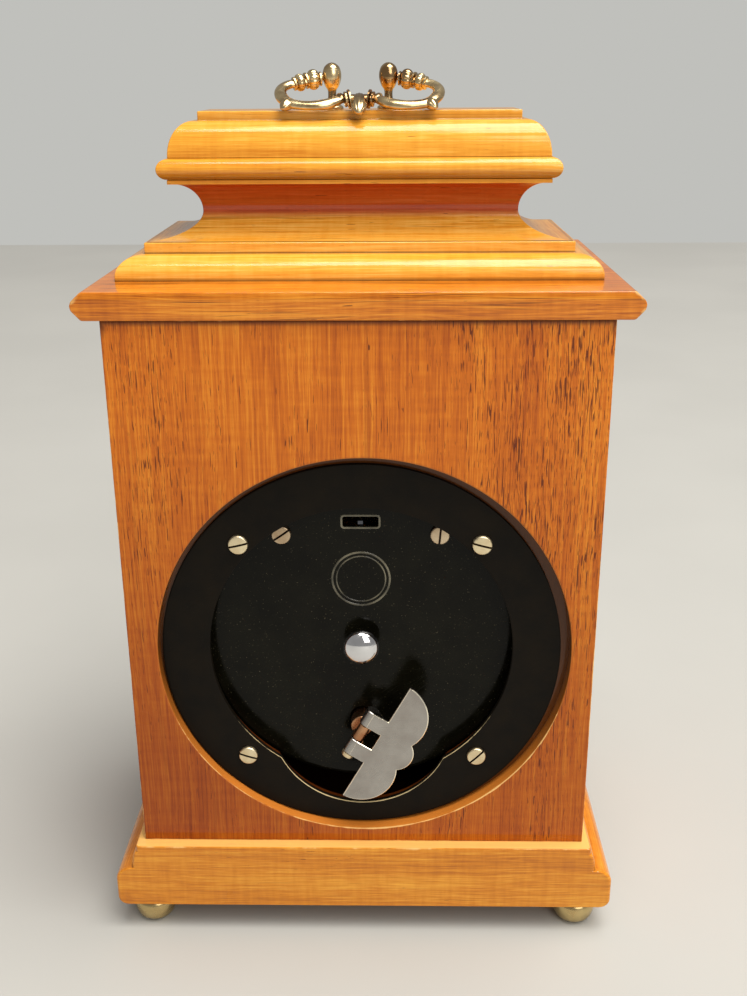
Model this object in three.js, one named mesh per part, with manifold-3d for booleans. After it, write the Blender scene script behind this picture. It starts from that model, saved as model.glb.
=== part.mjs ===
// A small wooden bracket clock, seen in the photograph from behind: moulded plinth on four brass
// bun feet, bell top with a folding brass handle, and a rear-wound, rear-set eight-day movement.
//
// Millimetres, +Z up. The dial faces -Y and the round winding opening faces +Y.
// The origin is on the surface that the feet stand on, under the middle of the plinth.
//
// Depths inside the case are given as "deep" values: the distance in front of the back panel's
// outer face, so a larger value is nearer the dial. Heights in the case count from the plinth top.

import * as THREE from 'three';
import { mergeVertices } from 'three/addons/utils/BufferGeometryUtils.js';
import Module from 'manifold-3d';

const wasm = await Module();
wasm.setup();

// ---------------------------------------------------------------- driving dimensions

// Case
const caseWidth = 132;            // carcass, over the side panels
const caseDepth = 92.3;           // carcass, over the back and front panels
const caseHeight = 158.7;         // plinth top to underside of the cornice slab
const panelThickness = 8;
const glueLine = 0.05;            // film between two glued wooden faces

// Feet
const footHeight = 9;
const footRadius = 6.7;
const footSideInset = 9.8;        // foot centre to the plinth's widest point at the side
const footEndInset = 7.7;         // foot centre to the plinth's back face and widest point at the front

// Plinth
const plinthHeight = 21.1;
const plinthNoseProud = 9.1;      // widest point, beyond the carcass at the sides and front
const plinthTopProud = 2.3;       // top edge, beyond the carcass at the sides and front
const plinthBackProud = 3.6;      // flat back face, beyond the back panel
const plinthNoseHeight = 9.1;     // top of the vertical face under the moulding
const plinthToeRadius = 2.4;

// Cornice slab
const slabThickness = 7.3;
const slabNoseProud = 7.1;
const slabEdgeProud = 4.1;        // flat top and underside, beyond the carcass
const slabBackProud = 1.3;
const slabNoseHeight = 3.8;

// Bell top, mitred on all four sides. Widths are halves across the case.
const topTierSideLoss = 32.7;     // half width minus half depth, the same on every tier
const topTierSetForward = 47.4;   // middle of the bell top, in front of the back panel's face
const ovoloHalfWidth = 64.9;
const ovoloHeight = 6.3;
const filletHalfWidth = 57.9;
const filletHeight = 2.9;
const neckHalfWidth = 43.7;
const neckLowerHeight = 6.9;      // cove below the narrowest point
const neckUpperHeight = 7.7;      // cove above the narrowest point
const neckHeadHalfWidth = 51.2;
const collarHalfWidth = 51.8;     // small fillet under the torus
const collarHeight = 1.2;
const torusHalfWidth = 54.2;
const torusHeight = 5.4;
const cushionHalfWidth = 51.4;
const cushionHeight = 9.5;
const cushionTopHalfWidth = 45;
const capHalfWidth = 43.9;        // thin fillet on which the handle stands
const capHeight = 2.4;

// Movement axes, from the centre arbor, and the centre arbor's height above the plinth top
const centreHeight = 63;
const windingDrop = 25.5;         // winding arbor below the centre arbor

// Round opening in the back panel
const backHoleRadius = 58.5;
const backHoleOffset = [-0.9, 0]; // bored a little to one side of the movement, as on the real case
const rebateDepth = 4.8;

// Mounting ring
const ringFaceDeep = 3;
const ringThickness = 1.5;
const ringRadius = 56.9;
const ringDrop = 1;               // rim and screws sit low in the rebate by this much
const ringOpeningRadius = 43.2;
const ringLobeRadius = 26.3;      // keyhole-like lobe round the winding arbor
const ringLobeRise = 0.5;         // its centre above the winding arbor
const ringScrewPitch = 33.7;      // half spacing of the four screws, both ways
const ledgeClearance = 1.5;       // the panel's inner opening, outside the ring's opening

// Screws
const screwHeadRadius = 2.75;
const screwHeadHeight = 1.1;
const screwShankRadius = 1.25;
const slotWidth = 0.6;
const slotDepth = 0.5;
const ringScrewLength = 4.2;
const coverScrewLength = 5;

// Dust cover
const coverFaceDeep = 9;
const coverThickness = 1;
const coverRadius = 46;
const coverPostSpread = 22.3;     // the two cover screws, sideways from the centre arbor
const coverPostRise = 33.3;       // and above it
const regulatorSlotRise = 37;
const regulatorSlotWidth = 10;
const regulatorSlotHeight = 3;

// Folding winding key
const keyLean = 28.8;             // degrees, the hinge line from the vertical
const keyTilt = 7;                // degrees, how far the folded wing stands off flat
const keyFaceDeep = -1;
const keyThickness = 1.6;
const keyKnuckleRadius = 2.1;
const keyHalfSpan = 20.5;
const keyHeel = 5;                // straight edge, from the hinge line
const keyLobeRadius = 11.1;
const keyLobeCentre = [9.5, 4.5]; // along the hinge line and out from it
const keyMiddleLobeRadius = 5.7;
const keyMiddleLobeOut = 11.1;
const keyLugInner = 2.75;
const keyLugOuter = 7.7;
const keyLugEnd = 0.2;            // out from the hinge line
const postTongueHalf = 2.45;
const postTongueThickness = 3.6;
const postRadius = 3.2;
const postShoulderDeep = 3.7;
const pivotRadius = 0.8;
const pivotHeadRadius = 1.9;
const pivotHeadHeight = 1.3;

// Hand-setting knob
const knobRadius = 5.25;
const knobCrownDeep = 1.6;
const knobRimDeep = 4.7;
const knobShankRadius = 2;

// Handle
const handlePivotRise = 8.3;      // pivot above the cap
const handlePostSpacing = 15.6;
const handleBallRadius = 2.6;
const handleSag = 27.5;           // degrees below level, where the folded bail rests on the cap
const handleRodRadius = 1.6;
const handlePinRadius = 0.9;
const handleStudRadius = 1.4;     // stud under each post, in the cap
const handleStudLength = 9;
const handleBeadPlaces = [[2.7, 13, 1.1], [2.4, 16.5, 3]];   // radius, across and out of the bail's beads
const handleLeafPlace = [18.9, 14.6];
const handleScrollPlace = [4.9, 11.4];
const handleEggOut = 14.4;

// Dial and glazed opening
const dialHalfSide = 47;          // square part of the front opening
const dialArchRadius = 34;
const dialPlateLap = 3;
const dialPlateThickness = 1.5;
const chapterOuterRadius = 41.5;
const chapterInnerRadius = 29.5;
const chapterThickness = 0.8;
const glassThickness = 1.8;
const bezelLip = 3.5;             // how far the bezel covers the opening's edge
const bezelFlange = 2.6;          // and how far it laps the wood
const bezelProud = 2.3;
const minuteHandLength = 37;
const hourHandLength = 26;
const handThickness = 0.6;
const hourHandClear = 1.4;        // hour hand in front of the chapter ring
const handSpacing = 1.6;          // from the hour hand to the minute hand
const hourPipeRadius = 4;
const cannonPipeRadius = 2.6;

// Movement plates and pillars
const plateRadius = 47;
const plateThickness = 2;
const backPlateDeep = 24;
const frontPlateDeep = 56;
const pillarRadius = 2.8;
const dialFootSpread = 30;
const dialFootRadius = 1.5;
const lowerPillar = [-31, -22];   // the pillar opposite the train, from the centre arbor
const pivotBore = 1;
const arborEnd = 0.6;             // radius of a train arbor's pivots
const pillarEnd = 0.8;            // how far pillars and arbors reach through a plate

// Winding side
const barrelArborRadius = 3;
const barrelPivotRadius = 2.4;
const barrelBackDeep = 27.5;
const barrelWall = 1.2;
const springTurns = 5;
const springPitch = 1.5;
const springStrip = 0.45;
const keyPostEndDeep = 12;
const ratchetTeeth = 24;
const ratchetRadius = 9;
const ratchetToothDepth = 1.1;
const ratchetThickness = 1.4;
const clickAt = [13.4, -20];      // the click's stud, from the centre arbor
const clickStudRadius = 0.9;

// Centre arbor and motion work
const centreArborBackDeep = 11.6;
const centreArborRadius = 1.5;
const minuteStudRadius = 1.2;

// Platform behind the back plate: escape wheel, lever, balance, bridge and index
const escapeLevelDeep = 20;
const escapeTeeth = 15;
const escapeRadius = 3.9;
const palletThickness = 0.8;
const balanceRadius = 9;
const balanceDeep = 15.4;
const bridgeDeep = 12.3;
const bridgeThickness = 1.3;
const bridgeFootPlaces = [[-17.5, 21.5], [11.8, 27.5]];
const regulatorThickness = 0.8;

// Wheels: teeth and modules of each meshing pair
const greatTeeth = 48;
const intermediatePinionTeeth = 8;
const intermediateTeeth = 40;
const centrePinionTeeth = 8;
const centreTeeth = 48;
const thirdPinionTeeth = 6;
const thirdTeeth = 45;
const fourthPinionTeeth = 6;
const fourthTeeth = 60;
const escapePinionTeeth = 6;
const cannonTeeth = 10;
const minuteTeeth = 30;
const minutePinionTeeth = 8;
const hourTeeth = 32;
const barrelToIntermediate = 22;
const intermediateToCentre = 18;
const centreToThird = 16.2;
const thirdToFourth = 14.9;
const fourthToEscape = 12.3;
const motionWorkDistance = 14;
const wheelThickness = 1.2;
const arborRadius = 1.1;

// Depths of the wheels
const greatDeep = 43;
const intermediateDeep = 48;
const centreDeep = 52.5;
const thirdDeep = 44;
const fourthDeep = 38;
const cannonDeep = 60.5;
const hourDeep = 64.5;

// Clearances
const runningGap = 0.3;           // between a moving piece and its neighbour
const seatGap = 0.3;              // between two fixed pieces that touch

// ---------------------------------------------------------------- derived places

const totalDepth = plinthBackProud + caseDepth + plinthNoseProud;
const backFaceY = totalDepth / 2 - plinthBackProud;
const plinthTopZ = footHeight + plinthHeight;
const slabBottomZ = plinthTopZ + caseHeight;
const slabTopZ = slabBottomZ + slabThickness;
const neckBottomZ = slabTopZ + ovoloHeight + filletHeight;
const cushionBottomZ = neckBottomZ + neckLowerHeight + neckUpperHeight;
const capTopZ = cushionBottomZ + collarHeight + torusHeight + cushionHeight + capHeight;
const panelBackDeep = panelThickness;
const frontPanelDeep = caseDepth - panelThickness;
const dialPlateDeep = frontPanelDeep - seatGap - dialPlateThickness;
const chapterDeep = frontPanelDeep;
const glassDeep = caseDepth + bezelProud - 1 - seatGap - glassThickness;
const ledgeDeep = rebateDepth;
const archCentreRise = dialHalfSide;          // the arch springs from the square's top
const hourHandDeep = chapterDeep + chapterThickness + hourHandClear;
const minuteHandDeep = hourHandDeep + handSpacing;
const backPlateEnd = backPlateDeep + plateThickness;
const frontPlateEnd = frontPlateDeep + plateThickness;
const minuteStudEndDeep = hourDeep + 3;
const ratchetDeep = backPlateDeep - 1 - ratchetThickness;
const regulatorDeep = bridgeDeep - seatGap - regulatorThickness;

// Plan of the arbors, [across, up] from the centre arbor, as seen from the dial
const degrees = Math.PI / 180;
const onCircle = (radius, radians) => [radius * Math.cos(radians), radius * Math.sin(radians)];
const polar = (distance, angle) => onCircle(distance, angle * degrees);
const fourCorners = (half) => [[-half, half], [half, half], [-half, -half], [half, -half]];
const plus = (a, b) => [a[0] + b[0], a[1] + b[1]];

// The point at given distances from two others, on the left of the line from a to b
function triangulate(a, b, fromA, fromB) {
  const across = [b[0] - a[0], b[1] - a[1]];
  const span = Math.hypot(...across);
  const along = (fromA * fromA - fromB * fromB + span * span) / (2 * span);
  const off = Math.sqrt(fromA * fromA - along * along);
  const unit = [across[0] / span, across[1] / span];
  return [a[0] + along * unit[0] - off * unit[1], a[1] + along * unit[1] + off * unit[0]];
}

const centreAt = [0, 0];
const barrelAt = [0, -windingDrop];
const intermediateAt = triangulate(centreAt, barrelAt, intermediateToCentre, barrelToIntermediate);
const thirdAt = polar(centreToThird, 35);
const balanceAt = [0, 24];
const leverAt = plus(balanceAt, polar(7, 215));
const escapeAt = plus(leverAt, polar(5.8, 215));
const fourthAt = triangulate(escapeAt, thirdAt, fourthToEscape, thirdToFourth);
const minuteWheelAt = polar(motionWorkDistance, 240);

// ---------------------------------------------------------------- materials

function finish(color, roughness, metalness) {
  return new THREE.MeshStandardMaterial({ color, roughness, metalness });
}
const paleWood = finish('#d08a3a', 0.35, 0);
const redWood = finish('#b5692a', 0.4, 0);
const brass = finish('#c8a355', 0.3, 1);
const agedBrass = finish('#8f6a32', 0.35, 1);
const paleBrass = finish('#cfc08a', 0.35, 1);
const steel = finish('#b8b8b4', 0.25, 1);
const blueSteel = finish('#22283a', 0.3, 1);
const springSteel = finish('#5a5c60', 0.35, 1);
const nickel = finish('#a5a3a0', 0.2, 1);
const chrome = finish('#e6e6e6', 0.05, 1);
const satinBlack = finish('#1f1b17', 0.5, 0);
const glossBlack = finish('#0e0d0b', 0.15, 0);
const silvered = finish('#d9d8d0', 0.4, 0.8);
const glazing = finish('#dfe8ea', 0.02, 0);

// ---------------------------------------------------------------- solids

// A closed geometry: only positions, shared vertices merged, no flat triangles, faces outwards
function closed(geometry) {
  const bare = geometry.clone();
  for (const name of Object.keys(bare.attributes)) {
    if (name !== 'position') bare.deleteAttribute(name);
  }
  const merged = mergeVertices(bare, 1e-4);
  const index = merged.getIndex().array;
  const place = merged.getAttribute('position');
  const a = new THREE.Vector3();
  const b = new THREE.Vector3();
  const c = new THREE.Vector3();
  const kept = [];
  let volume = 0;
  for (let i = 0; i < index.length; i += 3) {
    const [p, q, r] = [index[i], index[i + 1], index[i + 2]];
    if (p === q || q === r || r === p) continue;
    kept.push(p, q, r);
    a.fromBufferAttribute(place, p);
    b.fromBufferAttribute(place, q);
    c.fromBufferAttribute(place, r);
    volume += a.dot(b.cross(c));
  }
  if (volume < 0) kept.reverse();
  merged.setIndex(kept);
  return merged;
}

function toManifold(geometry) {
  const solid = closed(geometry);
  return new wasm.Manifold(new wasm.Mesh({
    numProp: 3,
    vertProperties: new Float32Array(solid.getAttribute('position').array),
    triVerts: new Uint32Array(solid.getIndex().array),
  }));
}

function fromManifold(manifold) {
  const mesh = manifold.getMesh();
  const geometry = new THREE.BufferGeometry();
  geometry.setAttribute('position', new THREE.BufferAttribute(new Float32Array(mesh.vertProperties), 3));
  geometry.setIndex([...mesh.triVerts]);
  return geometry;
}

function join(...geometries) {
  return fromManifold(geometries.map(toManifold).reduce((whole, piece) => whole.add(piece)));
}

function cut(geometry, ...tools) {
  const solids = tools.map(toManifold);
  return fromManifold(solids.reduce((whole, tool) => whole.subtract(tool), toManifold(geometry)));
}

// A plate: its outline lies across and up, and it reaches from one depth to a greater one (nearer the dial)
function plate(outline, fromDeep, toDeep, curveSegments = 24) {
  const geometry = new THREE.ExtrudeGeometry(outline, {
    depth: toDeep - fromDeep, bevelEnabled: false, curveSegments, steps: 1,
  });
  geometry.translate(0, 0, fromDeep);
  geometry.rotateX(Math.PI / 2);
  return geometry;
}

// A turned piece on a front-to-back axis; its profile is a list of [radius, deep]
function turned(profile, segments = 24) {
  return new THREE.LatheGeometry(profile.map(([radius, deep]) => new THREE.Vector2(radius, -deep)), segments);
}

// A turned piece on an upright axis; its profile is a list of [radius, height]
function turnedUpright(profile, segments = 24) {
  const points = profile.map(([radius, height]) => new THREE.Vector2(radius, height));
  const geometry = new THREE.LatheGeometry(points, segments);
  geometry.rotateX(Math.PI / 2);
  return geometry;
}

function rod(radius, fromDeep, toDeep, segments = 16) {
  return turned([[0, fromDeep], [radius, fromDeep], [radius, toDeep], [0, toDeep]], segments);
}

function box(width, height, fromDeep, toDeep) {
  const geometry = new THREE.BoxGeometry(width, toDeep - fromDeep, height);
  geometry.translate(0, -(fromDeep + toDeep) / 2, 0);
  return geometry;
}

const moved = (geometry, [across, up], deep = 0) => geometry.clone().translate(across, -deep, up);

// A block whose every level is a rectangle. Each level gives its height, half width,
// and the depths of its back and front faces.
function levelledBlock(levels) {
  const positions = [];
  for (const { height, halfWidth, back, front } of levels) {
    positions.push(-halfWidth, -back, height, halfWidth, -back, height,
      halfWidth, -front, height, -halfWidth, -front, height);
  }
  const index = [];
  for (let level = 0; level + 1 < levels.length; level += 1) {
    for (let side = 0; side < 4; side += 1) {
      const next = (side + 1) % 4;
      const [a, b, c, d] = [4 * level + side, 4 * level + next, 4 * level + 4 + next, 4 * level + 4 + side];
      index.push(a, c, b, a, d, c);
    }
  }
  const top = 4 * (levels.length - 1);
  index.push(0, 1, 2, 0, 2, 3, top, top + 2, top + 1, top, top + 3, top + 2);
  const geometry = new THREE.BufferGeometry();
  geometry.setAttribute('position', new THREE.Float32BufferAttribute(positions, 3));
  geometry.setIndex(index);
  return geometry;
}

// Points of a quarter ellipse between two corners of a profile, [out, height]. A convex quarter
// leaves the first corner upwards; a hollow one leaves it sideways.
function quarter([out0, height0], [out1, height1], steps, convex) {
  const points = [];
  for (let step = 0; step <= steps; step += 1) {
    const angle = (step / steps) * Math.PI / 2;
    const share = convex ? [1 - Math.cos(angle), Math.sin(angle)] : [Math.sin(angle), 1 - Math.cos(angle)];
    points.push([out0 + (out1 - out0) * share[0], height0 + (height1 - height0) * share[1]]);
  }
  return points;
}

// ---------------------------------------------------------------- outlines

function circlePoints(radius, [across, up], steps, turnSign) {
  const points = [];
  for (let step = 0; step < steps; step += 1) {
    const place = onCircle(radius, turnSign * (step / steps) * 2 * Math.PI);
    points.push(new THREE.Vector2(across + place[0], up + place[1]));
  }
  return points;
}

function circleOutline(radius, at = [0, 0], steps = 48) {
  return new THREE.Shape(circlePoints(radius, at, steps, 1));
}

function circleHole(radius, at = [0, 0], steps = 12) {
  return new THREE.Path(circlePoints(radius, at, steps, -1));
}

function pointsOutline(points) {
  return new THREE.Shape(points.map(([x, y]) => new THREE.Vector2(x, y)));
}

// Break-arch outline round the centre arbor: a square with a smaller arch on its top edge
function breakArchPoints(offset, arcSteps = 20) {
  const half = dialHalfSide + offset;
  const radius = dialArchRadius + offset;
  const shoulder = archCentreRise + offset;
  const start = Math.asin(offset / radius);
  const points = [[-half, -half], [half, -half], [half, shoulder]];
  for (let step = 0; step <= arcSteps; step += 1) {
    const angle = start + (Math.PI - 2 * start) * (step / arcSteps);
    points.push([radius * Math.cos(angle), archCentreRise + radius * Math.sin(angle)]);
  }
  points.push([-half, shoulder]);
  return points;
}

// Points on an arc from one angle to another, in radians, both ends included
function arcPoints(radius, [across, up], from, to, steps) {
  return Array.from({ length: steps + 1 }, (_, step) => (
    plus([across, up], onCircle(radius, from + (to - from) * (step / steps)))));
}

// The ring's opening: a large circle round the centre arbor joined to a lobe round the winding arbor
function lobedPoints(offset, steps = 56) {
  const big = ringOpeningRadius + offset;
  const small = ringLobeRadius + offset;
  const lobeAt = [0, ringLobeRise - windingDrop];
  const cusp = triangulate(centreAt, lobeAt, big, small);
  const bigEnd = Math.atan2(cusp[1], cusp[0]);
  const smallEnd = Math.atan2(cusp[1] - lobeAt[1], cusp[0]);
  const bigSteps = Math.round(steps * 0.75);
  const body = arcPoints(big, centreAt, bigEnd, Math.PI - bigEnd, bigSteps);
  const lobe = arcPoints(small, lobeAt, Math.PI - smallEnd, 2 * Math.PI + smallEnd, steps - bigSteps);
  return [...body, ...lobe.slice(1, -1)];
}

// Gear outline. The teeth are plain trapezoids, thinner than half the pitch, so that a pair
// runs free at every angle; the finest teeth are thinner still. firstTooth is the angle of one
// tooth's middle, in radians.
const addendum = 0.80;
const dedendum = 1.05;
function gearPoints(teeth, module_, firstTooth) {
  const pitchRadius = (teeth * module_) / 2;
  const pitch = (2 * Math.PI) / teeth;
  const tip = pitchRadius + addendum * module_;
  const root = pitchRadius - dedendum * module_;
  const fine = module_ < 0.5;
  const halfAtTip = (fine ? 0.07 : 0.11) * pitch;
  const halfAtRoot = (fine ? 0.2 : 0.24) * pitch;
  const points = [];
  for (let tooth = 0; tooth < teeth; tooth += 1) {
    const middle = firstTooth + tooth * pitch;
    points.push(onCircle(root, middle - halfAtRoot), onCircle(tip, middle - halfAtTip));
    points.push(onCircle(tip, middle + halfAtTip), onCircle(root, middle + halfAtRoot));
  }
  return points;
}

const directionOf = (from, to) => Math.atan2(to[1] - from[1], to[0] - from[0]);
const moduleOf = (distance, teethA, teethB) => (2 * distance) / (teethA + teethB);

// A wheel with four crossings, its rim as deep as the teeth
function crossedWheel(teeth, module_, firstTooth, fromDeep, hubRadius) {
  const outline = pointsOutline(gearPoints(teeth, module_, firstTooth));
  const rimInner = (teeth * module_) / 2 - (dedendum + 1.6) * module_;
  const inner = hubRadius + 1;
  const halfArm = 0.9;
  for (let quarterTurn = 0; quarterTurn < 4; quarterTurn += 1) {
    const base = quarterTurn * Math.PI / 2;
    const a0 = base + Math.asin(halfArm / inner);
    const a1 = base + Math.PI / 2 - Math.asin(halfArm / inner);
    const b0 = base + Math.asin(halfArm / rimInner);
    const b1 = base + Math.PI / 2 - Math.asin(halfArm / rimInner);
    const path = [];
    for (let step = 0; step <= 4; step += 1) {
      const angle = b0 + (b1 - b0) * (step / 4);
      path.push(new THREE.Vector2(rimInner * Math.cos(angle), rimInner * Math.sin(angle)));
    }
    path.push(new THREE.Vector2(inner * Math.cos(a1), inner * Math.sin(a1)));
    path.push(new THREE.Vector2(inner * Math.cos(a0), inner * Math.sin(a0)));
    outline.holes.push(new THREE.Path(path.reverse()));
  }
  return plate(outline, fromDeep, fromDeep + wheelThickness);
}

function pinion(teeth, module_, firstTooth, fromDeep, toDeep) {
  return plate(pointsOutline(gearPoints(teeth, module_, firstTooth)), fromDeep, toDeep);
}

// ---------------------------------------------------------------- assembly

const clock = new THREE.Group();
const inCase = new THREE.Group();           // origin at the back panel's outer face, on the plinth top
inCase.position.set(0, backFaceY, plinthTopZ);
clock.add(inCase);
const movement = new THREE.Group();         // origin on the centre arbor's axis
movement.position.set(0, 0, centreHeight);
inCase.add(movement);

function add(group, name, geometry, material, at = [0, 0], deep = 0) {
  const solid = closed(geometry).toNonIndexed();
  solid.computeVertexNormals();
  const mesh = new THREE.Mesh(solid, material);
  mesh.name = name;
  mesh.position.set(at[0], -deep, at[1]);
  group.add(mesh);
  return mesh;
}

// ---------------------------------------------------------------- wooden case

function plinth() {
  const nose = plinthNoseProud;
  const stepOut = plinthTopProud + 2;
  const stepHeight = plinthHeight - 8;
  const profile = [
    ...quarter([nose - plinthToeRadius, 0], [nose, plinthToeRadius], 4, false),
    ...quarter([nose, plinthNoseHeight], [stepOut, stepHeight], 5, true),
    ...quarter([plinthTopProud + 1.6, stepHeight], [plinthTopProud + 0.2, plinthHeight - 2.2], 4, true)
      .slice(1),
    [plinthTopProud, plinthHeight - 2],
    [plinthTopProud, plinthHeight],
  ];
  const levels = profile.map(([proud, height]) => ({
    height,
    halfWidth: caseWidth / 2 + proud,
    back: -plinthBackProud,
    front: caseDepth + proud,
  }));
  return levelledBlock(levels);
}

function corniceSlab() {
  const nose = slabNoseProud;
  const profile = [
    [slabEdgeProud + 0.3, 0],
    [nose - 0.25, slabNoseHeight - 1.2],
    [nose, slabNoseHeight],
    [nose - 0.4, slabNoseHeight + 1.1],
    [slabEdgeProud, slabThickness],
  ];
  const levels = profile.map(([proud, height]) => ({
    height,
    halfWidth: caseWidth / 2 + proud,
    back: -slabBackProud,
    front: caseDepth + proud,
  }));
  return levelledBlock(levels);
}

// A tier of the bell top: profile points are [half width, height]
function topTier(profile) {
  return levelledBlock(profile.map(([halfWidth, height]) => ({
    height,
    halfWidth,
    back: topTierSetForward - (halfWidth - topTierSideLoss),
    front: topTierSetForward + (halfWidth - topTierSideLoss),
  })));
}

function lowerMoulding() {
  return topTier([
    [ovoloHalfWidth, glueLine],
    ...quarter([ovoloHalfWidth, 1], [filletHalfWidth + 0.6, ovoloHeight], 7, true),
    [filletHalfWidth, ovoloHeight + 0.1],
    [filletHalfWidth, ovoloHeight + filletHeight],
  ]);
}

function bellNeck() {
  const waist = [neckHalfWidth, neckLowerHeight];
  const head = [neckHeadHalfWidth, neckLowerHeight + neckUpperHeight - glueLine];
  return topTier([
    ...quarter([filletHalfWidth - 0.6, glueLine], waist, 7, false),
    ...quarter(waist, head, 6, true).slice(1),
  ]);
}

function cushionTop() {
  const torusMiddle = collarHeight + torusHeight / 2;
  const cushionFoot = collarHeight + torusHeight;
  const capFoot = cushionFoot + cushionHeight;
  const torusPoints = [];
  for (let step = 0; step <= 6; step += 1) {
    const angle = (step / 6 - 0.5) * Math.PI * 0.9;
    torusPoints.push([
      torusHalfWidth - (torusHalfWidth - cushionHalfWidth) * (1 - Math.cos(angle)),
      torusMiddle + (torusHeight / 2) * Math.sin(angle) / Math.sin(0.45 * Math.PI),
    ]);
  }
  const block = topTier([
    [collarHalfWidth, 0],
    [collarHalfWidth, collarHeight - 0.1],
    ...torusPoints,
    ...quarter([cushionHalfWidth, cushionFoot + 0.3], [cushionTopHalfWidth, capFoot], 7, true),
    [capHalfWidth, capFoot + 0.1],
    [capHalfWidth, capFoot + capHeight],
  ]);
  const studHole = handleStudRadius + seatGap;
  const holeTop = capFoot + capHeight + 1;
  const holeFoot = holeTop - handleStudLength - 2;
  const hole = turnedUpright([[0, holeFoot], [studHole, holeFoot], [studHole, holeTop], [0, holeTop]], 12);
  const holes = [-1, 1].map((side) => moved(hole, [side * handlePostSpacing / 2, 0], topTierSetForward));
  return cut(block, ...holes);
}

function sidePanel() {
  const geometry = new THREE.BoxGeometry(
    panelThickness, frontPanelDeep - panelBackDeep - 2 * glueLine, caseHeight - 2 * glueLine);
  return geometry;
}

function panelOutline() {
  const half = caseWidth / 2;
  const top = caseHeight - glueLine;
  return pointsOutline([[-half, glueLine], [half, glueLine], [half, top], [-half, top]]);
}

function backPanel() {
  const board = plate(panelOutline(), 0, panelThickness);
  const holeAt = [backHoleOffset[0], centreHeight + backHoleOffset[1]];
  const rebate = moved(rod(backHoleRadius, -1, ledgeDeep, 72), holeAt);
  const throughOutline = pointsOutline(lobedPoints(ledgeClearance, 40));
  const through = moved(plate(throughOutline, -1, panelThickness + 1), [0, centreHeight]);
  const pilot = rod(screwShankRadius + seatGap, ledgeDeep - 1, panelThickness - 0.5, 10);
  const pilots = ringScrewPlaces().map((place) => moved(pilot, plus(place, [0, centreHeight])));
  return cut(board, rebate, through, ...pilots);
}

function frontPanel() {
  const board = plate(panelOutline(), frontPanelDeep, caseDepth);
  const opening = plate(pointsOutline(breakArchPoints(0)), frontPanelDeep - 1, caseDepth + 1);
  return cut(board, moved(opening, [0, centreHeight]));
}

function bunFoot() {
  const neck = 0.62 * footRadius;
  return turnedUpright([
    [0, 0], [0.5 * footRadius, 0],
    [0.84 * footRadius, 0.16 * footHeight],
    [footRadius, 0.45 * footHeight],
    [0.93 * footRadius, 0.7 * footHeight],
    [neck, 0.88 * footHeight],
    [neck, footHeight - glueLine],
    [0, footHeight - glueLine],
  ], 18);
}

// ---------------------------------------------------------------- handle

// Post standing on the cap; heights count from the cap's top face
function handlePost() {
  const pivot = handlePivotRise;
  const body = turnedUpright([
    [0, -handleStudLength], [handleStudRadius, -handleStudLength], [handleStudRadius, 0.1],
    [3.1, 0.1], [3.1, 0.8], [2.2, 1.4], [1.4, 2.2], [1.25, 3.6], [1.8, pivot - 3.6],
    [handleBallRadius * 0.86, pivot - 2.4],
    [handleBallRadius, pivot - 0.6],
    [handleBallRadius, pivot + 1],
    [handleBallRadius * 0.82, pivot + 2.7],
    [handleBallRadius * 0.45, pivot + 3.6],
    [0, pivot + 3.9],
  ], 14);
  const bore = handlePinRadius + runningGap;
  const pinHole = new THREE.CylinderGeometry(bore, bore, 3 * handleBallRadius, 10);
  pinHole.rotateZ(Math.PI / 2);
  pinHole.translate(0, 0, pivot);
  return cut(body, pinHole);
}

// The bail in its own plane: points are [across, out from the pivot axis]. It is mirrored about its middle.
function bailPath() {
  const half = handlePostSpacing / 2;
  const beadStart = half + handleBallRadius + 0.5;
  const side = [
    [beadStart, 0.6], [13.6, 1.6], [16.4, 2.9], [19.2, 3.7], [21, 5.6], [21.5, 8.2], [20.7, 11.2],
    [18.7, 13.8], [15.4, 15], [11.6, 15.2], [8.2, 14.2], [5.2, 12.3], [2.6, 11.6], [0, 11.6],
  ];
  const mirrored = side.slice(0, -1).reverse().map(([across, out]) => [-across, out]);
  return [...side, ...mirrored];
}

function ballAt(radius, across, out, stretch = [1, 1, 1], segments = 8) {
  const geometry = new THREE.SphereGeometry(radius, segments, Math.round(segments * 0.7));
  geometry.scale(...stretch);
  geometry.translate(across, out, 0);
  return geometry;
}

// Built with the pivot axis along X and the bail lying towards the back (+Y), then tilted down
function handleBail() {
  const half = handlePostSpacing / 2;
  const points = bailPath().map(([across, out]) => new THREE.Vector3(across, out, 0));
  const extrudePath = new THREE.CatmullRomCurve3(points);
  const section = new THREE.Shape();
  section.absellipse(0, 0, handleRodRadius, handleRodRadius * 0.85, 0, 2 * Math.PI);
  const bar = new THREE.ExtrudeGeometry(section, {
    extrudePath, steps: 36, bevelEnabled: false, curveSegments: 4,
  });
  const pieces = [bar];
  for (const side of [-1, 1]) {
    const pin = new THREE.CylinderGeometry(handlePinRadius, handlePinRadius, handleBallRadius * 2 + 2.2, 8);
    pin.rotateZ(Math.PI / 2);
    pin.translate(side * (half + handleBallRadius * 0.5 + 0.7), 0, 0);
    pieces.push(pin);
    for (const [radius, across, out] of handleBeadPlaces) pieces.push(ballAt(radius, side * across, out));
    pieces.push(ballAt(1.9, side * handleLeafPlace[0], handleLeafPlace[1], [0.95, 1.5, 0.9]));
    pieces.push(ballAt(1.3, side * handleScrollPlace[0], handleScrollPlace[1], [0.8, 1.5, 0.8], 6));
  }
  pieces.push(ballAt(2.4, 0, handleEggOut, [1, 2.1, 0.72], 10));
  const bail = join(...pieces);
  bail.rotateX(-handleSag * degrees);
  return bail;
}

// ---------------------------------------------------------------- pieces in the round opening

function ringScrewPlaces() {
  return fourCorners(ringScrewPitch).map((place) => plus(place, [0, -ringDrop]));
}
const coverScrewPlaces = [[-coverPostSpread, coverPostRise], [coverPostSpread, coverPostRise]];

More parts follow.
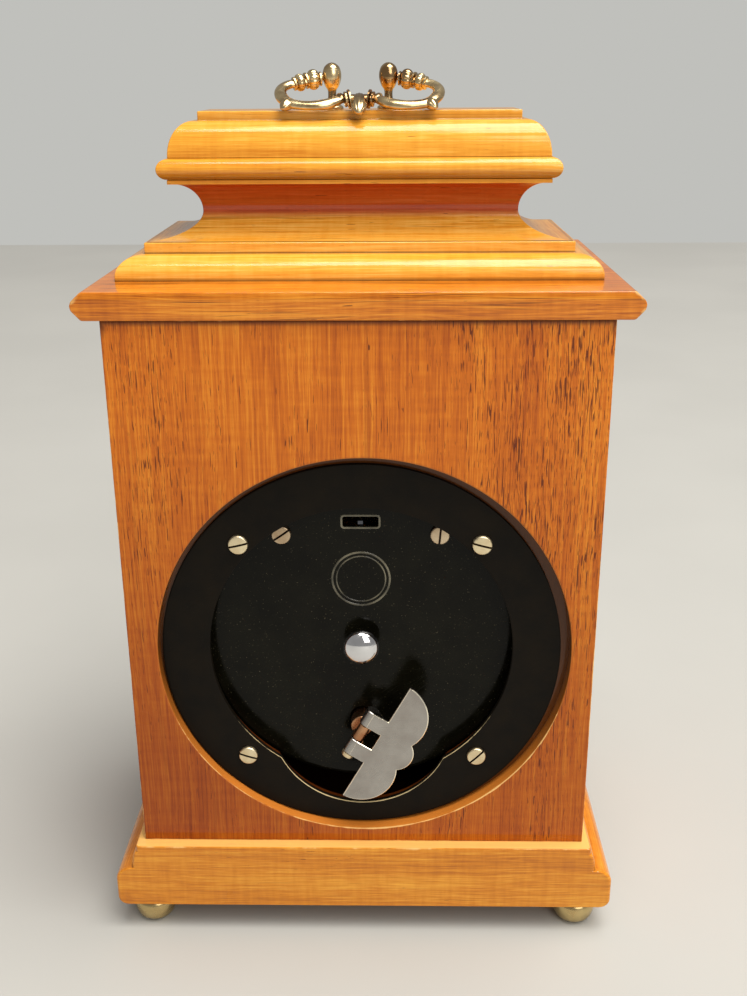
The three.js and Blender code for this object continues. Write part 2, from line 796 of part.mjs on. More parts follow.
function mountingRing() {
  const outline = circleOutline(ringRadius, [0, -ringDrop], 72);
  outline.holes.push(new THREE.Path(lobedPoints(0).reverse().map(([x, y]) => new THREE.Vector2(x, y))));
  for (const place of ringScrewPlaces()) outline.holes.push(circleHole(screwShankRadius + seatGap, place));
  return plate(outline, ringFaceDeep, ringFaceDeep + ringThickness);
}

// Cheese-headed slotted screw whose head stands on faceDeep; the slot is turned by slotAngle degrees
function slottedScrew(length, slotAngle) {
  const head = screwHeadRadius;
  const body = turned([
    [0, -screwHeadHeight], [head * 0.82, -screwHeadHeight], [head, -screwHeadHeight + 0.35],
    [head, -0.02], [screwShankRadius, -0.02], [screwShankRadius, length - 1], [0.3, length], [0, length],
  ], 16);
  const slot = box(3 * head, slotWidth, -screwHeadHeight - 1, -screwHeadHeight + slotDepth);
  slot.rotateY(slotAngle * degrees);
  return cut(body, slot);
}

function dustCover() {
  const back = coverFaceDeep;
  const floor = coverFaceDeep + coverThickness;
  const rimEnd = backPlateDeep - seatGap;
  const inner = coverRadius - coverThickness;
  const cup = turned([
    [0, back], [coverRadius - 1.5, back], [coverRadius - 0.4, back + 0.5], [coverRadius, back + 1.6],
    [coverRadius, rimEnd], [inner, rimEnd], [inner, floor + 0.6], [inner - 0.6, floor], [0, floor],
  ], 48);
  const screwHole = rod(screwShankRadius + seatGap, back - 1, floor + 1, 10);
  const tools = [
    moved(rod(postRadius + 0.5, back - 1, floor + 1, 20), barrelAt),
    rod(knobShankRadius + 0.4, back - 1, floor + 1, 16),
    moved(box(regulatorSlotWidth, regulatorSlotHeight, back - 1, floor + 1), [0, regulatorSlotRise]),
    ...coverScrewPlaces.map((place) => moved(screwHole, place)),
  ];
  return cut(cup, ...tools);
}

function settingKnob() {
  const shankEnd = centreArborBackDeep - seatGap;
  return turned([
    ...quarter([0, knobCrownDeep], [knobRadius, knobRimDeep], 6, false),
    [knobRadius - 0.4, knobRimDeep + 0.6], [knobShankRadius + 0.8, knobRimDeep + 0.9],
    [knobShankRadius, knobRimDeep + 1.5], [knobShankRadius, shankEnd], [0, shankEnd],
  ], 24);
}

// In the key's own frame the hinge line runs along Z, and depth along -Y
const keyAxisDeep = keyFaceDeep + keyKnuckleRadius;
function hingeBar(radius, length, along = 0, segments = 16) {
  const geometry = new THREE.CylinderGeometry(radius, radius, length, segments);
  geometry.rotateX(Math.PI / 2);
  geometry.translate(0, -keyAxisDeep, along);
  return geometry;
}

// Key post on the winding arbor: round body, flat tongue with a rounded end, cross hole for the pivot
function windingKeyPost() {
  const body = rod(postRadius, postShoulderDeep, keyPostEndDeep, 20);
  const tongue = box(postTongueThickness, 2 * postTongueHalf, keyAxisDeep, postShoulderDeep + 0.5);
  const nose = hingeBar(postTongueThickness / 2, 2 * postTongueHalf);
  return cut(join(body, tongue, nose), hingeBar(pivotRadius + runningGap, 4 * postTongueHalf, 0, 12));
}

// Key wing: three lobes on a straight heel, with two knuckled lugs. Outline points are [along, out].
function keyOutline() {
  const [lobeAlong, lobeOut] = keyLobeCentre;
  const middleAt = [0, keyMiddleLobeOut];
  const cusp = triangulate(middleAt, keyLobeCentre, keyMiddleLobeRadius, keyLobeRadius);
  const tip = Math.atan2(keyHeel - lobeOut, keyHalfSpan - lobeAlong);
  const cuspAngle = Math.atan2(cusp[1] - lobeOut, cusp[0] - lobeAlong);
  const middleStart = Math.atan2(cusp[1] - keyMiddleLobeOut, cusp[0]);
  const half = [
    [keyHalfSpan, keyHeel],
    ...arcPoints(keyLobeRadius, keyLobeCentre, tip, cuspAngle, 9).slice(1),
    ...arcPoints(keyMiddleLobeRadius, middleAt, middleStart, Math.PI / 2, 4).slice(1, -1),
  ];
  const otherHalf = half.slice().reverse().map(([along, out]) => [-along, out]);
  const lug = (side) => [
    [side * keyLugInner, keyHeel], [side * keyLugInner, keyLugEnd],
    [side * keyLugOuter, keyLugEnd], [side * keyLugOuter, keyHeel],
  ];
  const top = [0, keyMiddleLobeOut + keyMiddleLobeRadius];
  return [...half, top, ...otherHalf, ...lug(-1).reverse(), ...lug(1)];
}

function windingKey() {
  // along becomes Z, out becomes -X, and the thickness runs into the clock
  const outline = pointsOutline(keyOutline().map(([along, out]) => [-out, along]));
  const wing = plate(outline, keyFaceDeep, keyFaceDeep + keyThickness, 8);
  const lugMiddle = (keyLugOuter + keyLugInner) / 2;
  const lugLength = keyLugOuter - keyLugInner;
  const knuckles = [-1, 1].map((side) => hingeBar(keyKnuckleRadius, lugLength, side * lugMiddle));
  const key = cut(join(wing, ...knuckles), hingeBar(pivotRadius + runningGap, 4 * keyLugOuter, 0, 12));
  key.translate(0, keyAxisDeep, 0);
  key.rotateZ(-keyTilt * degrees);
  key.translate(0, -keyAxisDeep, 0);
  return key;
}

function keyPivotScrew() {
  const headFrom = -(keyLugOuter + runningGap);
  const shank = turnedUpright([
    [0, headFrom - pivotHeadHeight], [pivotHeadRadius * 0.8, headFrom - pivotHeadHeight],
    [pivotHeadRadius, headFrom - pivotHeadHeight + 0.3],
    [pivotHeadRadius, headFrom], [pivotRadius, headFrom], [pivotRadius, keyLugOuter - 0.2], [0, keyLugOuter],
  ], 14);
  const slot = new THREE.BoxGeometry(0.5, 3 * pivotHeadRadius, 0.9);
  slot.translate(0, 0, headFrom - pivotHeadHeight);
  const screw = cut(shank, slot);
  screw.translate(0, -keyAxisDeep, 0);
  return screw;
}

// ---------------------------------------------------------------- dial

function dialPlate() {
  const outline = pointsOutline(breakArchPoints(dialPlateLap));
  outline.holes.push(circleHole(hourPipeRadius + runningGap, centreAt, 16));
  const sheet = plate(outline, dialPlateDeep, dialPlateDeep + dialPlateThickness);
  const foot = rod(dialFootRadius, frontPlateDeep - 0.5, dialPlateDeep + 0.5, 10);
  const feet = dialFootPlaces.map((place) => moved(foot, place));
  return join(sheet, ...feet);
}

function chapterRing() {
  const outline = circleOutline(chapterOuterRadius);
  outline.holes.push(circleHole(chapterInnerRadius, centreAt, 48));
  return plate(outline, chapterDeep, chapterDeep + chapterThickness);
}

// Corner ornament for the corner at +across, +up: a leafy bracket between the chapter ring and the corner
function spandrelPoints() {
  const inner = chapterOuterRadius + 1.2;
  const edge = dialHalfSide - bezelLip - 0.6;
  const spread = Math.max(Math.acos((edge - 1.2) / inner) / degrees, 24);
  const curve = arcPoints(inner, centreAt, (90 - spread) * degrees, spread * degrees, 8);
  const foot = curve[curve.length - 1][1];
  const side = [
    [edge - 1.4, foot + 0.2], [edge, foot + 3], [edge - 2.4, foot + 6.5], [edge, foot + 11],
    [edge - 1.6, edge - 5.5], [edge, edge - 2.2],
  ];
  return [...curve, ...side, ...side.slice().reverse().map(([across, up]) => [up, across])];
}

function spandrel(side, rise) {
  const points = spandrelPoints().map(([across, up]) => [side * across, rise * up]);
  if (side * rise > 0) points.reverse();
  return plate(pointsOutline(points), chapterDeep, chapterDeep + 1.2);
}

// A hand pointing straight up: hub, slender arm, leaf-shaped head with a point
function hand(length, hubRadius, boreRadius, armHalf, headHalf, headFrom) {
  const outline = new THREE.Shape();
  const start = Math.asin(armHalf / hubRadius);
  const hubTop = hubRadius * Math.cos(start);
  const up = (share) => headFrom + share * (length - headFrom);
  outline.moveTo(armHalf, hubTop);
  outline.lineTo(armHalf * 0.8, headFrom);
  outline.quadraticCurveTo(headHalf, up(0.25), headHalf * 0.9, up(0.4));
  outline.quadraticCurveTo(0.5, up(0.55), 0.25, length);
  outline.lineTo(-0.25, length);
  outline.quadraticCurveTo(-0.5, up(0.55), -headHalf * 0.9, up(0.4));
  outline.quadraticCurveTo(-headHalf, up(0.25), -armHalf * 0.8, headFrom);
  outline.lineTo(-armHalf, hubTop);
  outline.absarc(0, 0, hubRadius, Math.PI / 2 + start, Math.PI / 2 - start + 2 * Math.PI);
  outline.holes.push(circleHole(boreRadius, centreAt, 20));
  return outline;
}

function minuteHand() {
  const outline = hand(minuteHandLength, 4.2, cannonPipeRadius + seatGap, 0.8, 1.9, 18);
  return plate(outline, minuteHandDeep, minuteHandDeep + handThickness, 5);
}

function hourHand() {
  const outline = hand(hourHandLength, 5.6, hourPipeRadius + seatGap, 1, 3.6, 11);
  return plate(outline, hourHandDeep, hourHandDeep + handThickness, 5);
}

function dialBezel() {
  const face = caseDepth + seatGap / 6;
  const front = caseDepth + bezelProud;
  const flange = plate(pointsOutline(breakArchPoints(bezelFlange)), face, front);
  const sleeve = plate(pointsOutline(breakArchPoints(-seatGap)), glassDeep - 0.6, front - 0.2);
  const pocket = plate(pointsOutline(breakArchPoints(-1.2)), glassDeep - 2, front - 1);
  const sight = plate(pointsOutline(breakArchPoints(-bezelLip)), glassDeep - 2, front + 1);
  return cut(join(flange, sleeve), pocket, sight);
}

function dialGlass() {
  return plate(pointsOutline(breakArchPoints(-1.2 - seatGap)), glassDeep, glassDeep + glassThickness);
}

// ---------------------------------------------------------------- movement frame

const upperPillars = coverScrewPlaces;
const dialFootPlaces = fourCorners(dialFootSpread);

// Holes through a plate, each given as [place, radius, segments]
function plateBores(fromDeep, bores) {
  return bores.map(([place, radius, segments]) => (
    moved(rod(radius, fromDeep - 1, fromDeep + plateThickness + 1, segments), place)));
}

function backPlate() {
  const disc = rod(plateRadius, backPlateDeep, backPlateEnd, 48);
  const bridgeFoot = rod(1.4, bridgeDeep + bridgeThickness + seatGap, backPlateDeep + 0.5, 10);
  const bridgeFeet = bridgeFootPlaces.map((place) => moved(bridgeFoot, place));
  const clickStud = moved(rod(clickStudRadius, ratchetDeep - 0.6, backPlateDeep + 0.5, 10), clickAt);
  return cut(join(disc, ...bridgeFeet, clickStud), ...plateBores(backPlateDeep, [
    [barrelAt, barrelPivotRadius + runningGap, 16], [centreAt, centreArborRadius + runningGap, 12],
    [intermediateAt, pivotBore, 8], [thirdAt, pivotBore, 8], [fourthAt, pivotBore, 8], [escapeAt, 1.1, 8],
    [leverAt, pivotBore, 8], [balanceAt, pivotBore, 8], [lowerPillar, 1.8, 10],
    ...upperPillars.map((place) => [place, 2.6, 12]),
  ]));
}

function frontPlate() {
  const disc = rod(plateRadius, frontPlateDeep, frontPlateEnd, 48);
  const stud = moved(rod(minuteStudRadius, frontPlateDeep + 0.5, minuteStudEndDeep, 10), minuteWheelAt);
  return cut(join(disc, stud), ...plateBores(frontPlateDeep, [
    [barrelAt, barrelPivotRadius + runningGap, 16], [centreAt, centreArborRadius + runningGap, 12],
    [intermediateAt, pivotBore, 8], [thirdAt, pivotBore, 8], [fourthAt, pivotBore, 8],
    [escapeAt, pivotBore, 8], [lowerPillar, 1.8, 10],
    ...upperPillars.map((place) => [place, 1.8, 10]),
    ...dialFootPlaces.map((place) => [place, 1.8, 10]),
  ]));
}

// Pillar between the plates; an upper one runs on through the back plate to carry the dust cover
function pillar(reachesCover) {
  const shoulderBack = backPlateEnd + seatGap;
  const shoulderFront = frontPlateDeep - seatGap;
  const backEnd = reachesCover ? coverFaceDeep + coverThickness + seatGap : backPlateDeep - pillarEnd;
  const backRadius = reachesCover ? 2.2 : 1.5;
  const body = turned([
    [0, backEnd], [backRadius, backEnd], [backRadius, shoulderBack],
    [pillarRadius, shoulderBack], [pillarRadius, shoulderBack + 3], [pillarRadius - 0.7, shoulderBack + 4],
    [pillarRadius - 0.7, shoulderFront - 4], [pillarRadius, shoulderFront - 3], [pillarRadius, shoulderFront],
    [1.5, shoulderFront], [1.5, frontPlateEnd + pillarEnd], [0, frontPlateEnd + pillarEnd],
  ], 10);
  if (!reachesCover) return body;
  return cut(body, rod(screwShankRadius + seatGap, backEnd - 1, backEnd + coverScrewLength, 10));
}

// ---------------------------------------------------------------- going train

const greatModule = moduleOf(barrelToIntermediate, greatTeeth, intermediatePinionTeeth);
const intermediateModule = moduleOf(intermediateToCentre, intermediateTeeth, centrePinionTeeth);
const centreModule = moduleOf(centreToThird, centreTeeth, thirdPinionTeeth);
const thirdModule = moduleOf(thirdToFourth, thirdTeeth, fourthPinionTeeth);
const fourthModule = moduleOf(fourthToEscape, fourthTeeth, escapePinionTeeth);
const cannonModule = moduleOf(motionWorkDistance, cannonTeeth, minuteTeeth);
const hourModule = moduleOf(motionWorkDistance, minutePinionTeeth, hourTeeth);

// A wheel has a tooth's middle on the line to its mate, and the mate's pinion has a gap there
function wheelFor(at, mateAt, teeth, module_, fromDeep, hubRadius) {
  return crossedWheel(teeth, module_, directionOf(at, mateAt), fromDeep, hubRadius);
}
function pinionFor(at, mateAt, teeth, module_, fromDeep, toDeep) {
  return pinion(teeth, module_, directionOf(at, mateAt) + Math.PI / teeth, fromDeep, toDeep);
}

// Plain arbor with thin pivots in both plates
function trainArbor(fromDeep, toDeep) {
  const shoulderBack = fromDeep + plateThickness + 0.5 + runningGap;
  const shoulderFront = toDeep - plateThickness - 0.5 - runningGap;
  return turned([
    [0, fromDeep], [arborEnd, fromDeep], [arborEnd, shoulderBack], [arborRadius, shoulderBack],
    [arborRadius, shoulderFront], [arborEnd, shoulderFront], [arborEnd, toDeep], [0, toDeep],
  ], 8);
}

const barrelRadius = (greatTeeth * greatModule) / 2 - 1.9;

function mainspringBarrel() {
  const bore = barrelArborRadius + runningGap;
  const inner = barrelRadius - barrelWall;
  const drum = turned([
    [bore, barrelBackDeep], [barrelRadius, barrelBackDeep], [barrelRadius, greatDeep + wheelThickness],
    [bore, greatDeep + wheelThickness], [bore, greatDeep], [inner, greatDeep],
    [inner, barrelBackDeep + barrelWall], [bore, barrelBackDeep + barrelWall], [bore, barrelBackDeep],
  ], 24);
  const teeth = pointsOutline(gearPoints(greatTeeth, greatModule, directionOf(barrelAt, intermediateAt)));
  teeth.holes.push(circleHole(barrelRadius - 0.6, centreAt, 24));
  return join(drum, plate(teeth, greatDeep, greatDeep + wheelThickness));
}

// Flat spring coiled against the barrel wall
function mainspring() {
  const outer = barrelRadius - barrelWall - runningGap;
  const outside = [];
  const inside = [];
  for (let step = 0; step <= springTurns * 12; step += 1) {
    const angle = (step / 12) * 2 * Math.PI;
    const radius = outer - springPitch * (step / 12);
    outside.push(onCircle(radius, angle));
    inside.push(onCircle(radius - springStrip, angle));
  }
  return plate(pointsOutline([...outside, ...inside.reverse()]),
    barrelBackDeep + barrelWall + runningGap, greatDeep - runningGap);
}

function barrelArbor() {
  const backEnd = keyPostEndDeep + seatGap;
  const shoulderBack = backPlateEnd + 0.5;
  const shoulderFront = frontPlateDeep - 0.5;
  const frontEnd = frontPlateEnd + 0.5;
  return turned([
    [0, backEnd], [barrelPivotRadius, backEnd], [barrelPivotRadius, shoulderBack],
    [barrelArborRadius, shoulderBack], [barrelArborRadius, shoulderFront],
    [barrelPivotRadius, shoulderFront], [barrelPivotRadius, frontEnd], [0, frontEnd],
  ], 16);
}

// Ratchet teeth lean so that the click holds the winding arbor against the spring's pull
const ratchetPitch = (2 * Math.PI) / ratchetTeeth;
const ratchetPhase = 60 * degrees - 0.42 * ratchetPitch;
function ratchetWheel() {
  const points = [];
  for (let tooth = 0; tooth < ratchetTeeth; tooth += 1) {
    const angle = tooth * ratchetPitch + ratchetPhase;
    points.push(onCircle(ratchetRadius, angle));
    points.push(onCircle(ratchetRadius - ratchetToothDepth, angle + 0.12 * ratchetPitch));
  }
  const outline = pointsOutline(points);
  outline.holes.push(circleHole(barrelPivotRadius + seatGap, centreAt, 20));
  return plate(outline, ratchetDeep, ratchetDeep + ratchetThickness, 8);
}

// Click: a pawl on its stud, its nose resting in a ratchet gap
function ratchetClick() {
  const nose = plus(barrelAt, polar(ratchetRadius, 60));
  const reach = Math.hypot(nose[0] - clickAt[0], nose[1] - clickAt[1]);
  const angle = directionOf(clickAt, nose);
  const [cos, sin] = onCircle(1, angle);
  const local = (along, off) => [along * cos + off * sin, along * sin - off * cos];
  const outline = pointsOutline([
    local(reach, 0.5), local(reach * 0.6, 0.9), local(1.2, 2), local(-1.4, 1.7), local(-2.2, 0),
    local(-1.4, -1.7), local(1.2, -1.8), local(reach * 0.6, -0.3), local(reach, 0.1),
  ].reverse());
  outline.holes.push(circleHole(clickStudRadius + runningGap));
  return plate(outline, ratchetDeep + 0.1, ratchetDeep + ratchetThickness - 0.1);
}

function intermediateWheel() {
  const pinionEnd = intermediateDeep + 0.1;
  return join(
    trainArbor(backPlateDeep - 0.5, frontPlateEnd + 0.5),
    wheelFor(intermediateAt, centreAt, intermediateTeeth, intermediateModule, intermediateDeep, 2.6),
    pinionFor(intermediateAt, barrelAt, intermediatePinionTeeth, greatModule, greatDeep - 1, pinionEnd),
  );
}

// The centre wheel turns on the centre arbor through a friction bush, so the hands can be set
function centreWheel() {
  const bore = centreArborRadius + runningGap;
  const pinionFrom = intermediateDeep - 1;
  const pinionTo = intermediateDeep + 2.5;
  const whole = join(
    rod(bore + 0.9, intermediateDeep + 2, centreDeep + 2, 12),
    wheelFor(centreAt, thirdAt, centreTeeth, centreModule, centreDeep, 2.8),
    pinionFor(centreAt, intermediateAt, centrePinionTeeth, intermediateModule, pinionFrom, pinionTo),
  );
  return cut(whole, rod(bore, intermediateDeep - 3, centreDeep + 5, 12));
}

// One arbor from the setting knob to the minute hand, with the cannon pinion on it
function centreArbor() {
  const shoulder = frontPlateEnd + 0.8;
  const pipeEnd = minuteHandDeep + handThickness + 0.3;
  const shaft = turned([
    [0, centreArborBackDeep], [centreArborRadius, centreArborBackDeep], [centreArborRadius, shoulder],
    [cannonPipeRadius, shoulder], [cannonPipeRadius, pipeEnd], [1.4, pipeEnd + 0.5], [0, pipeEnd + 0.7],
  ], 16);
  return join(
    shaft,
    pinionFor(centreAt, minuteWheelAt, cannonTeeth, cannonModule, cannonDeep - 0.8, cannonDeep + 2),
  );
}

function thirdWheel() {
  return join(
    trainArbor(backPlateDeep - 0.5, frontPlateEnd + 0.5),
    wheelFor(thirdAt, fourthAt, thirdTeeth, thirdModule, thirdDeep, 2.2),
    pinionFor(thirdAt, centreAt, thirdPinionTeeth, centreModule, centreDeep - 0.8, centreDeep + 2),
  );
}

function fourthWheel() {
  return join(
    trainArbor(backPlateDeep - 0.5, frontPlateEnd + 0.5),
    wheelFor(fourthAt, escapeAt, fourthTeeth, fourthModule, fourthDeep, 1.8),
    pinionFor(fourthAt, thirdAt, fourthPinionTeeth, thirdModule, thirdDeep - 1, thirdDeep + 2),
  );
}

// Staff of the platform, from the bridge inwards: profile points follow its first pivot
function platformStaff(shaftRadius, rest, segments) {
  const pivotEnd = bridgeDeep + bridgeThickness + 0.5;
  return turned([
    [0, bridgeDeep + 0.1], [0.4, bridgeDeep + 0.1], [0.4, pivotEnd], [shaftRadius, pivotEnd], ...rest,
  ], segments);
}

// Pointed teeth behind the back plate, on a long arbor with its pinion between the plates
function escapeWheel() {
  const points = [];
  const pitch = (2 * Math.PI) / escapeTeeth;
  for (let tooth = 0; tooth < escapeTeeth; tooth += 1) {
    const angle = tooth * pitch;
    points.push(onCircle(escapeRadius, angle));
    points.push(onCircle(escapeRadius - 1, angle + 0.25 * pitch));
    points.push(onCircle(escapeRadius - 1, angle + 0.7 * pitch));
  }
  const arbor = platformStaff(0.75, [
    [0.75, frontPlateDeep - 0.5], [arborEnd, frontPlateDeep - 0.5],
    [arborEnd, frontPlateEnd + 0.3], [0, frontPlateEnd + 0.3],
  ], 8);
  return join(
    arbor,
    plate(pointsOutline(points), escapeLevelDeep, escapeLevelDeep + palletThickness),
    pinionFor(escapeAt, fourthAt, escapePinionTeeth, fourthModule, fourthDeep - 1, fourthDeep + 2.2),
  );
}

// Lever: two pallet arms curved round the escape wheel, and a fork towards the balance. It turns
// on a short staff in the back plate, clear of the balance's swing.
function palletLever() {
  const [cos, sin] = onCircle(1, directionOf(leverAt, balanceAt));
  const local = ([along, off]) => [along * cos - off * sin, along * sin + off * cos];
  const toEscape = Math.hypot(escapeAt[0] - leverAt[0], escapeAt[1] - leverAt[1]);
  const round = (radius, angle) => plus([-toEscape, 0], polar(radius, angle));
  const half = [
    [4.1, 0], [4.8, 0.4], [4.6, 0.9], [3.7, 0.45], [1.2, 0.7], [0.2, 1.3],
    round(6.1, 30), round(6.1, 56), round(4.85, 58), round(4.85, 38), round(4.85, 19),
  ];
  const otherHalf = half.slice(1).reverse().map(([along, off]) => [along, -off]);
  const outline = pointsOutline([...half, round(4.85, 0), ...otherHalf].map(local));
  const shoulder = backPlateDeep - runningGap;
  const staff = turned([
    [0, escapeLevelDeep - 0.6], [0.7, escapeLevelDeep - 0.6], [0.7, shoulder], [0.6, shoulder],
    [0.6, backPlateEnd], [0, backPlateEnd],
  ], 8);
  return join(plate(outline, escapeLevelDeep, escapeLevelDeep + palletThickness), staff);
}

function balanceWheel() {
  const inner = balanceRadius - 1.1;
  const rim = turned([
    [inner, balanceDeep], [balanceRadius, balanceDeep], [balanceRadius, balanceDeep + 1.5],
    [inner, balanceDeep + 1.5], [inner, balanceDeep],
  ], 28);
  const arm = box(2 * balanceRadius - 1.4, 1.6, balanceDeep + 0.3, balanceDeep + 1.1);
  const rollerFrom = escapeLevelDeep - 0.3;
  const rollerTo = escapeLevelDeep + 1;
  const staff = platformStaff(0.8, [
    [0.8, rollerFrom], [1.6, rollerFrom], [1.6, rollerTo], [0.8, rollerTo],
    [0.8, backPlateDeep - 0.5], [0.5, backPlateDeep - 0.5], [0.5, backPlateEnd], [0, backPlateEnd],
  ], 10);
  return join(rim, arm, staff);
}

function escapementBridge() {
  const [left, right] = bridgeFootPlaces;
  const outline = pointsOutline([
    plus(left, [-2.4, 1.6]), plus(left, [-1.6, -2.4]), plus(escapeAt, [-1, -3]), plus(leverAt, [1.4, -3.4]),
    plus(balanceAt, [2.6, -2.6]), plus(right, [1.8, -2.2]), plus(right, [2.2, 1.6]), plus(right, [-1.2, 2.2]),
    plus(balanceAt, [-1, 2.8]), plus(leverAt, [-1.4, 3.4]), plus(escapeAt, [-1.6, 3.4]),
  ]);
  for (const place of [escapeAt, balanceAt]) outline.holes.push(circleHole(0.75, place, 8));
  return plate(outline, bridgeDeep, bridgeDeep + bridgeThickness);
}

// Index for the rate: a ring round the balance's upper pivot with a tail up to the slot in the dust cover
function regulatorLever() {
  const tail = regulatorSlotRise - balanceAt[1];
  const front = regulatorDeep + regulatorThickness;
  const ring = plate(circleOutline(2.2), regulatorDeep, front, 8);
  const arm = moved(box(1.2, tail - 1, regulatorDeep, front), [0, (tail - 1) / 2 + 1]);
  const finger = moved(box(1.4, 1, coverFaceDeep - 0.6, front), [0, tail]);
  return cut(join(ring, arm, finger), rod(0.75, regulatorDeep - 1, regulatorDeep + 2, 10));
}

function minuteWheel() {
  const bore = minuteStudRadius + runningGap;
  const towardsCentre = directionOf(minuteWheelAt, centreAt);
  const whole = join(
    pinion(minuteTeeth, cannonModule, towardsCentre, cannonDeep, cannonDeep + wheelThickness),
    rod(bore + 0.6, cannonDeep, hourDeep - 0.6, 10),
    pinion(minutePinionTeeth, hourModule, towardsCentre, hourDeep - 0.8, hourDeep + 2),
  );
  return cut(whole, rod(bore, cannonDeep - 1, hourDeep + 4, 10));
}

function hourWheel() {
  const bore = cannonPipeRadius + runningGap;
  const whole = join(
    pinionFor(centreAt, minuteWheelAt, hourTeeth, hourModule, hourDeep, hourDeep + wheelThickness),
    rod(hourPipeRadius, hourDeep, hourHandDeep + handThickness + 0.2, 16),
  );
  return cut(whole, rod(bore, hourDeep - 1, hourHandDeep + 3, 16));
}

// ---------------------------------------------------------------- put together

add(clock, 'plinth', plinth(), paleWood, [0, footHeight], -backFaceY);
const footAcross = caseWidth / 2 + plinthNoseProud - footSideInset;
const footBackY = totalDepth / 2 - footEndInset;
for (const [end, y] of [['back', footBackY], ['front', -footBackY]]) {
  for (const [side, across] of [['left', -footAcross], ['right', footAcross]]) {
    add(clock, `foot_${end}_${side}`, bunFoot(), brass, [across, 0], -y);
  }
}

add(inCase, 'back_panel', backPanel(), redWood);
const sideMiddle = (panelBackDeep + frontPanelDeep) / 2;
const sideAcross = (caseWidth - panelThickness) / 2;
add(inCase, 'side_panel_left', sidePanel(), redWood, [-sideAcross, caseHeight / 2], sideMiddle);
add(inCase, 'side_panel_right', sidePanel(), redWood, [sideAcross, caseHeight / 2], sideMiddle);
add(inCase, 'front_panel', frontPanel(), redWood);
add(inCase, 'cornice_slab', corniceSlab(), paleWood, [0, caseHeight]);
add(inCase, 'lower_moulding', lowerMoulding(), paleWood, [0, caseHeight + slabThickness]);
add(inCase, 'bell_neck', bellNeck(), redWood, [0, neckBottomZ - plinthTopZ]);
add(inCase, 'cushion_top', cushionTop(), paleWood, [0, cushionBottomZ - plinthTopZ]);

const capRise = capTopZ - plinthTopZ;
for (const [side, across] of [['left', -handlePostSpacing / 2], ['right', handlePostSpacing / 2]]) {
  add(inCase, `handle_post_${side}`, handlePost(), agedBrass, [across, capRise], topTierSetForward);
}
add(inCase, 'handle_bail', handleBail(), agedBrass, [0, capRise + handlePivotRise], topTierSetForward);

// The screw slots stand as the photograph shows them, seen from behind
const ringScrewSlots = { upper_left: -15, upper_right: 13, lower_left: 45, lower_right: -18 };
const coverScrewSlots = { left: 85, right: 35 };
const ringScrewDeep = ringFaceDeep - seatGap / 3;
const coverScrewDeep = coverFaceDeep - seatGap / 3;
add(movement, 'mounting_ring', mountingRing(), satinBlack);
Object.entries(ringScrewSlots).forEach(([corner, slot], number) => {
  const screw = slottedScrew(ringScrewLength, slot);
  add(movement, `ring_screw_${corner}`, screw, paleBrass, ringScrewPlaces()[number], ringScrewDeep);
});
add(movement, 'dust_cover', dustCover(), glossBlack);
Object.entries(coverScrewSlots).forEach(([side, slot], number) => {
  const screw = slottedScrew(coverScrewLength, slot);
  add(movement, `cover_screw_${side}`, screw, steel, coverScrewPlaces[number], coverScrewDeep);
});
add(movement, 'set_knob', settingKnob(), chrome);

const keyGroup = new THREE.Group();
keyGroup.position.set(barrelAt[0], 0, barrelAt[1]);
keyGroup.rotation.y = -keyLean * degrees;
movement.add(keyGroup);
add(keyGroup, 'winding_key_post', windingKeyPost(), brass);
add(keyGroup, 'winding_key', windingKey(), nickel);
add(keyGroup, 'key_pivot_screw', keyPivotScrew(), paleBrass);

add(movement, 'dial_plate', dialPlate(), brass);
add(movement, 'chapter_ring', chapterRing(), silvered);
for (const [level, rise] of [['upper', 1], ['lower', -1]]) {
  for (const [end, side] of [['left', -1], ['right', 1]]) {
    add(movement, `spandrel_${level}_${end}`, spandrel(side, rise), brass);
  }
}
add(movement, 'hour_hand', hourHand(), blueSteel);
add(movement, 'minute_hand', minuteHand(), blueSteel);
add(movement, 'dial_bezel', dialBezel(), brass);
add(movement, 'dial_glass', dialGlass(), glazing);

add(movement, 'movement_back_plate', backPlate(), brass);
add(movement, 'movement_front_plate', frontPlate(), brass);
add(movement, 'movement_pillar_left', pillar(true), brass, upperPillars[0]);
add(movement, 'movement_pillar_right', pillar(true), brass, upperPillars[1]);
add(movement, 'movement_pillar_lower', pillar(false), brass, lowerPillar);
add(movement, 'mainspring_barrel', mainspringBarrel(), brass, barrelAt);
add(movement, 'mainspring', mainspring(), springSteel, barrelAt);
add(movement, 'barrel_arbor', barrelArbor(), steel, barrelAt);
add(movement, 'ratchet_wheel', ratchetWheel(), steel, barrelAt);
add(movement, 'ratchet_click', ratchetClick(), steel, clickAt);
add(movement, 'intermediate_wheel', intermediateWheel(), brass, intermediateAt);
add(movement, 'centre_wheel', centreWheel(), brass);
add(movement, 'centre_arbor', centreArbor(), steel);
add(movement, 'third_wheel', thirdWheel(), brass, thirdAt);
add(movement, 'fourth_wheel', fourthWheel(), brass, fourthAt);
add(movement, 'escape_wheel', escapeWheel(), brass, escapeAt);
add(movement, 'pallet_lever', palletLever(), steel, leverAt);
add(movement, 'balance_wheel', balanceWheel(), brass, balanceAt);
add(movement, 'escapement_bridge', escapementBridge(), brass);
add(movement, 'regulator_lever', regulatorLever(), steel, balanceAt);
add(movement, 'minute_wheel', minuteWheel(), brass, minuteWheelAt);
add(movement, 'hour_wheel', hourWheel(), brass);

export default clock;
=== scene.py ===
"""A small wooden bracket clock, seen from behind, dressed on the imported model.

Shapes are worked out in millimetres in case coordinates: across (to the right of the dial's own
right-hand side, the frame's +X), deep (in front of the back panel's outer face) and up (above the
plinth's top). They become metres in the frame only when a mesh is made.
"""

